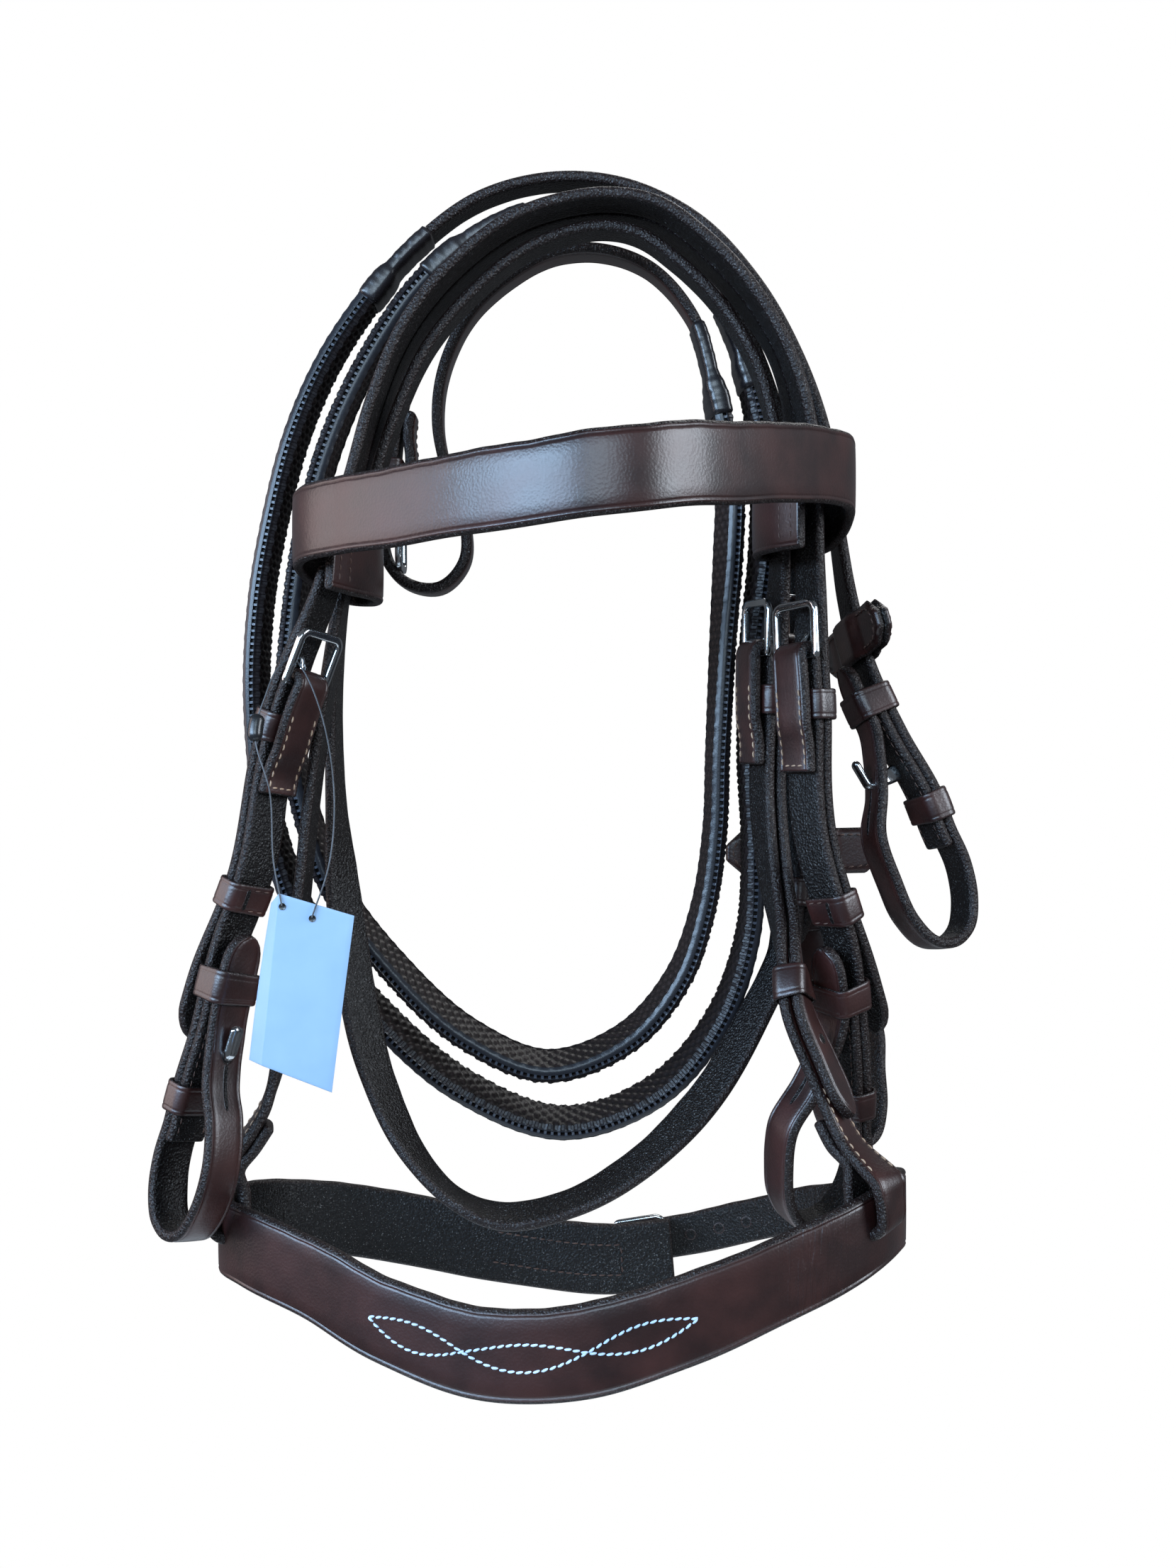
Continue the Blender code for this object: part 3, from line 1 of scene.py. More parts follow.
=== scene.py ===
"""Hunter bridle on its frame: rounded straps, moulded reins, polished buckles and stitching.

Metres, +Z up, the browband and noseband towards -Y. Routes are in steps of GRID. They are the
frame's own, but for the reins and the throatlatch, which are drawn in by a few millimetres. Each
dressed strap is a leather profile carried along its route.
"""

import math

import bpy
import numpy as np
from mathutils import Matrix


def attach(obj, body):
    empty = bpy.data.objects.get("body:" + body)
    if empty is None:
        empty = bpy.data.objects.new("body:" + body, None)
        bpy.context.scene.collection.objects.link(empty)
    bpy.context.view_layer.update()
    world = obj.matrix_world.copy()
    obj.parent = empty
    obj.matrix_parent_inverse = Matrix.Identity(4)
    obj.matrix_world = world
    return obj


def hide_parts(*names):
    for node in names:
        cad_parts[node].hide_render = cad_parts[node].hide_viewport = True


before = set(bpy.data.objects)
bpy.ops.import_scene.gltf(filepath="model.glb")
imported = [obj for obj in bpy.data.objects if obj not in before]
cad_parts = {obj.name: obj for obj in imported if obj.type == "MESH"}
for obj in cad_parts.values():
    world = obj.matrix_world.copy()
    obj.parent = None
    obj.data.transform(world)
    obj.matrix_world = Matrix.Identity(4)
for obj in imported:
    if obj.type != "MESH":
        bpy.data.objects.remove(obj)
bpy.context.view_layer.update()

# Sizes shared with the frame
GRID = 0.010
GAP = 0.0003
STRAP_WIDTH, STRAP_THICK = 0.0155, 0.0038
CROWN_WIDTH = 0.038
BROW_WIDTH, BROW_THICK = 0.0255, 0.0036
NOSE_WIDTH, NOSE_THICK = 0.0275, 0.0040
CHIN_WIDTH = 0.0165
REIN_WIDTH, REIN_THICK = 0.0158, 0.0038
GRIP_WIDTH, GRIP_THICK = 0.0172, 0.0066
SLEEVE_WALL = 0.0007
KEEPER_HIGH, KEEPER_WALL, KEEPER_SLACK = 0.0105, 0.0013, 0.0005
KEEPER_ROUND = 0.0030
WIRE, BAR = 0.0024, 0.0020
BUCKLE_LONG, BUCKLE_ROUND, BAR_ROUND = 0.0180, 0.0030, 0.0012
TONGUE_WIDTH, TONGUE_THICK = 0.0028, 0.0013
TIP_LONG = 0.0120
STOP_LONG, STOP_HIGH, STOP_LAYER = 0.060, 0.0175, 0.0030
STUD_TAB_LONG, STUD_TAB_THICK = 0.0110, 0.0014
CARD_THICK = 0.0006
STRING_RADIUS = 0.00028
BEAD_RADIUS, BEAD_LONG = 0.0026, 0.0095
CHEEK_LOOP_LONG = 0.036
PAD_DOWN, UPPER_UP, LOWER_UP = 0.006, 0.081, 0.009
# Heights over the loop of the stud, the chape's end and the tip's keeper
CHEEK_UPS, REIN_UPS = (0.028, 0.050, 0.050), (0.026, 0.056, 0.052)
NOSE_SWELL_SHARE = 0.10
CHIN_HOLE_STEP = 0.012
CHAPE_LONG, CHAPE_SHORT, BILLET_OVER = 0.042, 0.034, 0.034
SLEEVE_STEP_SHARE = 0.58
TURNED_BACK, KEEPER_BELOW = 0.040, 0.0165
LAYER, REIN_LAYER = STRAP_THICK + GAP, REIN_THICK + GAP
BASE = -STRAP_THICK / 2
BAR_OFF = BAR / 2 + GAP + STRAP_THICK / 2
REAR_ACROSS = CROWN_WIDTH - STRAP_WIDTH
UP = (0.0, 0.0, 1.0)

# Camera, at the photograph's place and angle
CAMERA_PLACE = (-0.004, -0.660, -0.193)
FRAME_WIDE_PX, FOCAL_PX = 1659, 2520
SENSOR = 36.0

camera = bpy.data.cameras.new("camera")
camera.sensor_fit, camera.sensor_width = "HORIZONTAL", SENSOR
camera.lens = SENSOR * FOCAL_PX / FRAME_WIDE_PX
camera.clip_start = GRID
camera_object = bpy.data.objects.new("camera", camera)
camera_object.location = CAMERA_PLACE
camera_object.rotation_euler = (math.pi / 2, 0.0, 0.0)
bpy.context.collection.objects.link(camera_object)
bpy.context.scene.camera = camera_object


def unit(v):
    """Vectors scaled to length 1."""
    v = np.asarray(v, float)
    return v / np.linalg.norm(v, axis=-1, keepdims=True)


def side(turn):
    """Level width direction of a hanging strap, turned about the vertical in degrees."""
    a = math.radians(turn)
    return (math.sin(a), math.cos(a), 0.0)


class Path:
    """A route with a width direction, measured along its length."""

    def __init__(self, points, widths, sign=1.0):
        points, widths = np.asarray(points, float), np.asarray(widths, float)
        step = np.linalg.norm(np.diff(points, axis=0), axis=1)
        keep = np.concatenate([[True], step > GAP / 10])
        self.p, widths, self.sign = points[keep], widths[keep], sign
        run = np.diff(self.p, axis=0)
        length = np.linalg.norm(run, axis=1)
        way = run / length[:, None]
        mid = way[:-1] * length[1:, None] + way[1:] * length[:-1, None]
        self.t = unit(np.vstack([way[:1], mid, way[-1:]]))
        self.w = unit(widths - self.t * np.sum(widths * self.t, axis=1, keepdims=True))
        self.n = sign * np.cross(self.t, self.w)
        self.s = np.concatenate([[0.0], np.cumsum(length)])

    @property
    def length(self):
        """Length of the whole path."""
        return float(self.s[-1])

    def at(self, s):
        """Points, directions, width directions and outward directions at lengths s."""
        s = np.clip(s, 0.0, self.length)
        p, t, w = (np.stack([np.interp(s, self.s, a[:, k]) for k in range(3)], axis=-1)
                   for a in (self.p, self.t, self.w))
        t = unit(t)
        w = unit(w - t * np.sum(w * t, axis=-1, keepdims=True))
        return p, t, w, self.sign * np.cross(t, w)

    def cut(self, start, end):
        """The stretch from start to end."""
        inner = self.s[(self.s > start + GAP / 2) & (self.s < end - GAP / 2)]
        p, _, w, _ = self.at(np.concatenate([[start], inner, [end]]))
        return Path(p, w, self.sign)

    def shift(self, out):
        """The path moved outwards."""
        return Path(self.p + self.n * out, self.w, self.sign)

    def back(self):
        """The path run the other way, with the same outward side."""
        return Path(self.p[::-1], self.w[::-1], -self.sign)

    def level(self, height, start=0.0, axis=2):
        """Length at which the path first crosses a height past start."""
        z = self.p[:, axis] - height
        hit = (self.s[1:] > start) & (z[:-1] * z[1:] <= 0) & (z[:-1] != z[1:])
        i = int(np.argmax(hit))
        return float(self.s[i] + (self.s[i + 1] - self.s[i]) * z[i] / (z[i] - z[i + 1]))

    def eased(self, reach=0.0025):
        """The same route with small kinks rounded, its ends kept."""
        count = max(8, int(self.length / (GAP * 2)))
        s = np.linspace(0.0, self.length, count)
        p, _, w, _ = self.at(s)
        spread = max(1, int(reach / (self.length / count)))
        kernel = np.hanning(2 * spread + 3)[1:-1]
        kernel /= kernel.sum()
        pad = len(kernel) // 2

        def smooth(a):
            """Rows evened by the kernel, led on past both ends as straight lines."""
            ends = (2 * a[0] - a[pad:0:-1], a, 2 * a[-1] - a[-2:-pad - 2:-1])
            full = np.vstack(ends)
            return np.stack([np.convolve(axis, kernel, mode="valid") for axis in full.T], axis=1)

        return Path(smooth(p), smooth(w), self.sign)


def nearest(path, point):
    """Length at which the path passes closest to a point."""
    a, run = path.p[:-1], np.diff(path.p, axis=0)
    k = np.clip(np.sum((point - a) * run, axis=1) / np.sum(run * run, axis=1), 0.0, 1.0)
    i = int(np.argmin(np.linalg.norm(a + run * k[:, None] - point, axis=1)))
    return float(path.s[i] + k[i] * (path.s[i + 1] - path.s[i]))


KNOT_POWER, KNOT_STEPS = 0.75, 27


def spline(rows, sign=1.0):
    """Smooth path through rows of x, y, z in GRID steps and a turn or a width direction.

    Between rows a cubic: each row's slope is that of the curve through its two neighbours.
    """
    pts = np.array([r[:3] for r in rows], float) * GRID
    wid = np.array([side(r[3]) if len(r) == 4 else r[3:6] for r in rows])
    data = np.hstack([pts, wid])
    t = np.concatenate([[0.0], np.cumsum(np.linalg.norm(np.diff(pts, axis=0), axis=1) ** KNOT_POWER)])
    slope = np.gradient(data, t, axis=0, edge_order=1)
    h = np.diff(t)[:, None, None]
    u = np.linspace(0, 1, KNOT_STEPS)[None, :-1, None]
    out = ((2 * u**3 - 3 * u**2 + 1) * data[:-1, None] + (u**3 - 2 * u**2 + u) * h * slope[:-1, None]
           + (3 * u**2 - 2 * u**3) * data[1:, None] + (u**3 - u**2) * h * slope[1:, None])
    out = np.vstack([out.reshape(-1, data.shape[1]), data[-1:]])
    return Path(out[:, :3], out[:, 3:], sign)


def join(*paths):
    """Paths one after another, as one."""
    return Path(np.vstack([q.p for q in paths]), np.vstack([q.w for q in paths]), paths[0].sign)


def rows_of(path, *lengths):
    """Route rows, in GRID steps, at lengths along a path."""
    p, _, w, _ = path.at(np.array(lengths))
    return [(*(a / GRID), *b) for a, b in zip(p, w)]


def six(rows):
    """Route rows with every width direction written as a vector."""
    return [r if len(r) == 6 else (*r[:3], *side(r[3])) for r in rows]


def rolled(rows):
    """Route rows whose width stands upright."""
    return [r if len(r) == 6 else (*r[:3], *UP) for r in rows]


def extend(path, s_cut, rows):
    """Path kept up to s_cut and led on smoothly through more rows."""
    more = spline(rows_of(path, s_cut - 2 * GRID, s_cut - GRID, s_cut) + six(rows), path.sign)
    begin = nearest(more, path.at(s_cut)[0])
    return join(path.cut(0.0, s_cut), more.cut(begin + GAP, more.length))


FOLD_BACK_SHARES = ((1.0, 0.0), (0.85, 0.0), (0.72, 0.3), (0.58, 0.92), (0.3, 1.0), (0.12, 1.0))
BACK_STEPS, TURN_STEPS, EVENED_OVER = 60, 28, 9


def folded(path, s_bar, back_long, close=LAYER):
    """Strap path that turns back round a buckle bar: the turned-back end, the fold, then the path.

    Gives the path and the length at which the fold ends.
    """
    share = np.array(FOLD_BACK_SHARES)
    fine = np.linspace(share[0, 0], share[-1, 0], BACK_STEPS)
    wide = np.pad(np.interp(-fine, -share[:, 0], share[:, 1]), EVENED_OVER // 2, mode="edge")
    wide = np.convolve(wide, np.ones(EVENED_OVER) / EVENED_OVER, mode="valid")
    p, t, w, n = path.at(s_bar + back_long * fine)
    pts = p - n * (close + (2 * BAR_OFF - close) * wide[:, None])
    q, u, v, m = path.at(s_bar)
    a = np.linspace(math.pi, 0, TURN_STEPS)[:, None]
    turn = q - m * BAR_OFF + m * BAR_OFF * np.cos(a) - u * BAR_OFF * np.sin(a)
    rest = path.cut(s_bar, path.length)
    widths = np.vstack([w, np.tile(v, (TURN_STEPS - 1, 1)), rest.w])
    whole = Path(np.vstack([pts, turn[:-1], rest.p]), widths, path.sign)
    return whole, whole.length - rest.length


LEAD_STEP = 0.9 * GRID
LOOP_SHARES = ((0.35, -0.03), (0.70, 0.07), (0.93, 0.27), (1.0, 0.52), (0.93, 0.77), (0.66, 0.96),
               (0.25, 1.0))


def bit_end(path, s0, long, wide, returns):
    """Path with a bit loop below s0; returns are (length back up, inward offset) rows.

    Gives the path and the length at which the loop begins.
    """
    p, t, w, n = path.at(s0)
    upper = path.cut(0.0, s0)
    rows = rows_of(path, *[s0 - k * LEAD_STEP for k in (5, 4, 3, 2, 1)])
    rows.append((*(p / GRID), *w))
    rows += [(*((p + t * long * down - n * wide * inward) / GRID), *w) for down, inward in LOOP_SHARES]
    for back, off in returns:
        q, _, v, m = path.at(s0 - back)
        rows.append((*((q - m * off) / GRID), *v))
    whole = spline(rows, path.sign)
    first = int(np.argmin(np.linalg.norm(whole.p - p, axis=1)))
    return join(upper, Path(whole.p[first + 1:], whole.w[first + 1:], path.sign)), upper.length


# Hanging routes, in GRID steps, left to right over the head
CROWN_ROUTE = (
    (-14.4, -3.3, -28.2, 42), (-13.7, -3.4, -25.9, 42), (-12.2, -3.7, -22.1, 42),
    (-11.6, -3.7, -18.6, 40), (-10.8, -4.0, -15.8, 35), (-9.5, -4.3, -12.7, 20),
    (-8.5, -4.1, -8.6, 6), (-7.85, -4.1, -6.1, 0), (-6.7, -4.1, -3.4, 0), (-5.0, -4.1, -1.3, 0),
    (-2.8, -4.1, 0.3, 0), (0.1, -4.1, 1.0, 0), (2.0, -4.1, 0.7, 0), (3.7, -4.1, -0.5, 0),
    (5.2, -4.1, -2.1, 0), (6.4, -4.1, -4.1, 0), (7.2, -3.9, -6.6, -5), (7.4, -3.5, -9.2, -15),
    (7.4, -3.3, -11.4, -25), (7.5, -3.4, -16.3, -38), (7.7, -3.4, -21.1, -38),
    (8.3, -3.4, -23.3, -38), (9.3, -2.6, -26.0, -38), (10.0, -1.9, -28.2, -38))
THROAT_LEFT = (
    (-8.7, -1.35, -8.8, 2), (-9.4, -0.85, -12.7, 2), (-9.65, -0.85, -16.6, 4),
    (-9.55, -0.85, -20.5, 14), (-9.3, -0.9, -23.4, 42), (-8.8, -1.3, -26.6, 48),
    (-8.05, -1.9, -29.5, 40), (-6.6, -2.6, -32.4, 0.42, 0.90, -0.10),
    (-5.1, -3.0, -33.9, 0.15, 0.98, 0.05), (-3.4, -3.2, -34.5, 0.0, 0.95, 0.30),
    (-1.1, -3.1, -34.1, -0.15, 0.94, 0.30), (1.4, -2.6, -32.8, -0.35, 0.86, 0.36),
    (4.0, -1.5, -30.4, -0.50, 0.78, 0.36), (5.6, -0.6, -27.9, -0.55, 0.80, 0.20))
CROWN_REAR_RIGHT = (
    (7.25, -1.35, -9.2, -12), (7.45, -0.6, -11.4, -22), (7.65, 0.2, -13.9, -32),
    (7.75, 0.6, -16.3, -35), (7.7, 0.6, -19.1, -35), (7.5, 0.5, -22.5, -35), (7.2, 0.3, -25.4, -35))
HEAD_ROUTE = (
    (-12.1, -3.0, -31.6, -15), (-11.5, -2.8, -29.8, -5), (-11.1, -2.7, -27.4, 6),
    (-10.65, -2.65, -24.2, 5), (-10.2, -2.6, -19.9, 3), (-9.7, -2.52, -16.2, 2),
    (-9.15, -2.5, -12.8, 0), (-8.2, -2.6, -9.5, 0),
    (-7.1, -2.9, -6.2, 0), (-6.0, -2.9, -3.9, 0), (-4.3, -2.9, -1.9, 0), (-2.3, -2.9, -0.4, 0),
    (0.1, -2.9, 0.25, 0), (1.4, -2.9, 0.0, 0), (2.7, -2.9, -0.9, 0), (4.2, -2.9, -2.4, 0),
    (5.4, -2.9, -4.3, 0), (6.1, -2.8, -6.5, 0), (6.4, -2.4, -9.0, -6), (6.5, -1.7, -11.5, -12),
    (6.45, -1.2, -13.5, -18), (6.4, -1.1, -16.6, -20), (6.35, -1.1, -20.0, -20),
    (6.55, -1.7, -22.5, -15), (6.8, -2.6, -24.2, -5), (6.9, -3.7, -25.6, 8),
    (7.02, -4.55, -27.0, 20), (7.75, -4.95, -28.8, 28), (8.5, -5.5, -30.6, 30))
BROW_ROUTE = (
    (-9.1, -6.0, -11.5), (-8.5, -5.0, -11.6), (-7.95, -3.6, -11.6), (-7.95, -1.8, -11.6),
    (-8.45, -0.3, -11.5), (-9.05, 0.2, -11.4), (-9.7, 0.1, -11.2), (-10.15, -0.8, -11.0),
    (-10.3, -2.4, -10.9), (-10.35, -3.8, -10.8), (-10.25, -5.3, -10.7), (-9.7, -6.7, -10.6),
    (-8.3, -8.3, -10.6), (-6.3, -10.2, -10.6), (-3.9, -12.2, -10.5), (-1.9, -13.4, -10.4),
    (-0.3, -13.8, -10.2), (1.2, -13.6, -10.0), (2.8, -12.6, -9.7), (4.4, -10.9, -9.4),
    (6.0, -8.8, -9.0), (7.6, -6.5, -8.7), (8.5, -4.8, -8.6), (8.8, -3.0, -8.8), (8.7, -1.2, -9.2),
    (8.3, 0.0, -9.5), (7.6, 0.55, -9.7), (7.0, 0.36, -9.8), (6.5, -0.45, -9.85), (6.0, -0.9, -9.9),
    (5.72, -1.8, -10.0), (5.65, -2.8, -10.0), (6.1, -4.3, -10.0), (6.9, -5.3, -10.0))
NOSE_ROUTE = (
    (2.9, 3.6, -37.6), (0.3, 3.6, -37.8), (-4.5, 3.6, -37.2), (-9.0, 3.0, -36.2),
    (-12.0, 1.5, -35.6), (-13.3, -0.8, -35.3), (-13.2, -3.0, -35.2), (-12.2, -4.6, -35.2),
    (-9.5, -6.6, -35.8), (-6.9, -8.2, -36.7), (-3.4, -9.4, -37.4), (-0.5, -9.6, -37.2),
    (2.6, -9.2, -36.4), (6.3, -8.0, -35.2), (8.9, -6.6, -34.3), (10.2, -4.6, -34.0),
    (10.6, -2.6, -34.3), (10.3, -0.8, -34.7))
CHIN_ROUTE = (
    (10.05, -3.2, -34.2), (10.05, -1.9, -34.5), (9.8, -0.4, -34.8), (9.2, 1.1, -35.1),
    (8.1, 2.7, -35.6), (6.2, 4.2, -36.4), (3.6, 5.1, -37.2), (1.2, 5.3, -37.65),
    (-1.4, 5.3, -38.0), (-4.0, 5.2, -38.1))
REIN_DEPTH = 0.8


def in_rein_plane(places):
    """Rows at places x and z in the plane in which the reins hang, with their width along Y."""
    return tuple((x, REIN_DEPTH, z, 0) for x, z in places)


REIN_CENTRE = in_rein_plane((
    (4.75, -4.6), (3.85, -1.7), (2.1, 0.25), (0.1, 0.95), (-1.8, 0.8), (-3.6, -0.15), (-5.2, -1.7),
    (-6.2, -3.9), (-6.4, -6.0), (-5.9, -8.3), (-5.35, -9.9), (-5.4, -10.9), (-6.05, -11.6),
    (-6.95, -11.45), (-7.5, -10.8), (-7.7, -9.8), (-7.65, -8.0), (-7.5, -6.2), (-7.0, -3.9),
    (-5.9, -1.7), (-4.2, 0.1), (-2.2, 1.15), (0.1, 1.45), (2.1, 1.05), (3.95, -0.55), (5.05, -2.7)))
REIN_ONE = in_rein_plane((
    (5.7, -4.7), (6.15, -8.0), (6.1, -10.7), (5.75, -14.0), (5.6, -18.2), (5.75, -21.8),
    (5.55, -25.0), (4.45, -28.1), (2.15, -30.75), (-1.3, -31.95), (-5.1, -30.55), (-8.05, -28.05),
    (-10.6, -25.0), (-12.1, -21.3), (-12.75, -16.5), (-12.6, -12.5), (-12.05, -9.3), (-11.3, -6.4),
    (-10.1, -3.6), (-8.45, -1.1), (-6.7, 0.85), (-4.5, 2.45), (-1.7, 3.2), (1.2, 2.9), (3.8, 1.55),
    (5.8, -0.6), (7.4, -3.4), (8.5, -6.6))) + (
    (8.95, 0.7, -10.3, -4), (9.3, 0.35, -12.8, -10), (9.8, 0.0, -14.9, -14),
    (10.85, -0.35, -17.4, -18), (12.0, -0.6, -19.5, -20), (12.55, -0.6, -20.9, -20))
REIN_TWO = in_rein_plane((
    (4.35, -4.7), (4.9, -8.0), (4.85, -10.7), (4.65, -14.0), (4.45, -18.2), (4.35, -21.0),
    (3.9, -24.0), (3.0, -26.5), (1.1, -28.75), (-1.9, -29.85), (-4.9, -28.65), (-7.7, -26.1),
    (-9.85, -23.2), (-11.05, -19.9), (-11.6, -16.5), (-11.4, -13.2), (-10.9, -9.8), (-9.95, -6.4),
    (-8.5, -3.3), (-6.6, -0.6), (-4.1, 1.4), (-1.5, 2.25), (1.1, 1.95))) + (
    (3.3, 1.0, 0.65, 0), (5.1, 1.5, -1.5, -4), (6.45, 2.1, -4.4, -10), (7.3, 2.5, -8.2, -20),
    (7.7, 2.7, -12.5, -40), (7.9, 2.8, -16.5, -70), (7.9, 2.9, -20.0, -86), (8.0, 2.9, -23.5, -86),
    (8.4, 2.8, -27.0, -60), (8.6, 2.6, -29.6, -35))

# Lean of the rubber reins towards the viewer, in degrees, row by row
LEAN_ONE = (4, 12, 14, 10, 6, 5, 8, 13, 18, 20, 20, 18, 14, 9, 6, 5, 5, 5, 3, 0)
LEAN_TWO = (4, 16, 18, 12, 8, 8, 10, 14, 18, 20, 20, 18, 14, 9, 6, 5, 5, 3, 0)
LOOP_MIDDLE = (-3.5, -14.0)


def leaning(rows, leans):
    """Rows whose width direction leans: cos(a) along Y and sin(a) towards the loop's middle."""
    rows = list(rows)
    for i, lean in enumerate(leans):
        before, here, after = rows[max(i - 1, 0)], rows[i], rows[i + 1]
        way = np.array([after[0] - before[0], after[2] - before[2]])
        inward = unit([way[1], -way[0]])
        if inward @ (np.array(LOOP_MIDDLE) - (here[0], here[2])) < 0:
            inward = -inward
        a = math.radians(lean)
        rows[i] = (*here[:3], math.sin(a) * inward[0], math.cos(a), math.sin(a) * inward[1])
    return tuple(rows)


# Heights of the fittings
SPLIT_LEFT, SPLIT_RIGHT = -6.4 * GRID, -6.9 * GRID
CHEEK_BAR_LEFT, CHEEK_BAR_RIGHT = -15.8 * GRID, -14.9 * GRID
NOSE_BAR, THROAT_BAR = -14.6 * GRID, -14.2 * GRID
REIN_BAR, CHIN_BAR = -9.4 * GRID, 0.9 * GRID


# Materials
class Shading:
    """Short calls that add the nodes of one tree and join them."""

    def __init__(self, tree):
        self.nodes, self.link = tree.nodes, tree.links.new

    def put(self, socket, value):
        """Join a socket to another, or set it to a number, a vector or a colour."""
        if isinstance(value, bpy.types.NodeSocket):
            self.link(value, socket)
        else:
            socket.default_value = (*value, 1.0) if socket.type == "RGBA" else value

    def feed(self, node, inputs):
        """Put values into a node's sockets, by name or number, and give its outputs."""
        for key, value in inputs.items():
            self.put(node.inputs[key], value)
        return node.outputs

    def add(self, kind, inputs):
        """New node of a kind, fed; gives its outputs."""
        return self.feed(self.nodes.new(kind), inputs)

    def math(self, operation, *values):
        """Result of a sum on up to three values."""
        node = self.nodes.new("ShaderNodeMath")
        node.operation = operation
        return self.feed(node, dict(enumerate(values)))[0]

    def place(self):
        """Object coordinates."""
        return self.add("ShaderNodeTexCoord", {})["Object"]

    def noise(self, where, scale, detail=2.0, distortion=0.0):
        """Soft noise from 0 to 1."""
        return self.add("ShaderNodeTexNoise", {"Vector": where, "Scale": scale, "Detail": detail,
                                               "Distortion": distortion})["Fac"]

    def scaled(self, source, low, high, to_low=0.0, to_high=1.0):
        """Value that goes from to_low to to_high as source goes from low to high."""
        return self.add("ShaderNodeMapRange", {"Value": source, "From Min": low, "From Max": high,
                                               "To Min": to_low, "To Max": to_high})["Result"]

    def mixed(self, share, first, second):
        """Colour that goes from first to second as share goes from 0 to 1."""
        node = self.nodes.new("ShaderNodeMix")
        node.data_type = "RGBA"
        return self.feed(node, {0: share, 6: first, 7: second})[2]

    def bumped(self, height, strength, distance, below=None):
        """Normal raised by a height, over the normal below it."""
        inputs = {"Height": height, "Strength": strength, "Distance": distance}
        if below:
            inputs["Normal"] = below
        return self.add("ShaderNodeBump", inputs)["Normal"]

    def grain(self, size):
        """Height, Cloud and Fine of the shared grain."""
        node = self.nodes.new("ShaderNodeGroup")
        node.node_tree = GRAIN
        return self.feed(node, {"Grain Size": size})

    def zone(self):
        """The zone that a piece's own points carry."""
        node = self.nodes.new("ShaderNodeAttribute")
        node.attribute_name = "zone"
        return node.outputs["Fac"]


FINE_SCALE, CLOUD_SCALE, CELLS_SOFT, FINE_SHARE = 1900.0, 55.0, 0.6, 0.45


def grain_group():
    """Grain and drift that every material shares, on Object coordinates.

    Fine is a fine noise, Cloud a wide soft one for uneven dye, and Height is the distance to the
    nearest of scattered points, which gives pebbled grain, with a share of Fine added.
    """
    tree = bpy.data.node_groups.new("leather_grain", "ShaderNodeTree")
    tree.interface.new_socket("Grain Size", in_out="INPUT", socket_type="NodeSocketFloat")
    for name in ("Height", "Cloud", "Fine"):
        tree.interface.new_socket(name, in_out="OUTPUT", socket_type="NodeSocketFloat")
    build = Shading(tree)
    size = tree.nodes.new("NodeGroupInput").outputs["Grain Size"]
    where = build.place()
    cells = tree.nodes.new("ShaderNodeTexVoronoi")
    cells.feature = "SMOOTH_F1"
    pebbles = build.feed(cells, {"Vector": where, "Scale": size, "Smoothness": CELLS_SOFT})["Distance"]
    fine, cloud = build.noise(where, FINE_SCALE, 3.0), build.noise(where, CLOUD_SCALE, 4.0)
    height = build.math("MULTIPLY_ADD", fine, FINE_SHARE, pebbles)
    build.add("NodeGroupOutput", {"Height": height, "Cloud": cloud, "Fine": fine})
    return tree


GRAIN = grain_group()
# Near-black painted shade for the inside of holes and slits
PAINTED_HOLE_SHADE = (0.0022, 0.0016, 0.0015)
DUST = (0.16, 0.155, 0.15)
DARK_EDGE_SHARE, DARK_FLESH_SHARE, DARK_KNOB_SHARE = 0.40, 0.45, 0.5
LEATHER_GRAIN_SIZE, PLAIN_GRAIN_SIZE = 1150.0, 1400.0
LEATHER_BUMP, WRINKLE_BUMP, PLAIN_BUMP = 0.0009, 0.0004, 0.0001
WRINKLE_SCALE, WRINKLE_BEND, WRINKLE_STRENGTH = (520.0, 520.0, 45.0), 0.4, 0.8
# Spans of a noise or of the zone over which a look goes from one state to the next
CLOUD_SPAN, DRIFT_SPAN, WIDE_SPAN = (0.35, 0.68), (0.32, 0.68), (0.3, 0.7)
SPECKLE_SPAN, DUST_SPAN, WRINKLE_SPAN = (0.42, 0.62), (0.645, 0.665), (0.50, 0.60)
TO_EDGE, TO_FLESH, TO_HOLE = (0.12, 0.38), (0.62, 0.88), (1.3, 1.7)
TO_COARSE, OFF_WAX = (0.1, 0.5), (0.1, 0.4)
TO_RUNG_SHEEN, TO_KNOB, TO_PIT_SHADE = (-0.2, -0.8), (0.2, 0.8), (1.2, 1.8)
# What the spans lead to
WAXED_ROUGH, EDGE_ROUGHER, GRAIN_BUMP, WAX = (0.29, 0.38), 0.13, (0.12, 0.60), (0.70, 0.04)
DUST_SHARE, DUSTY_KNOBS, RUBBER_ROUGH, RUBBER_STRENGTH = 0.8, (0.55, 1.0), (0.28, 0.50), 0.25
WAX_ROUGH, LEATHER_SHINE, RUBBER_SHINE = 0.40, 0.28, 0.32


def new_material(name, colour, roughness, metallic=0.0):
    """Material with its node calls and its shader's sockets."""
    mat = bpy.data.materials.new(name)
    mat.use_nodes = True
    build, shader = Shading(mat.node_tree), mat.node_tree.nodes["Principled BSDF"].inputs
    build.put(shader["Base Color"], colour)
    build.put(shader["Roughness"], roughness)
    build.put(shader["Metallic"], metallic)
    mat.diffuse_color = (*colour, 1.0)
    return mat, build, shader


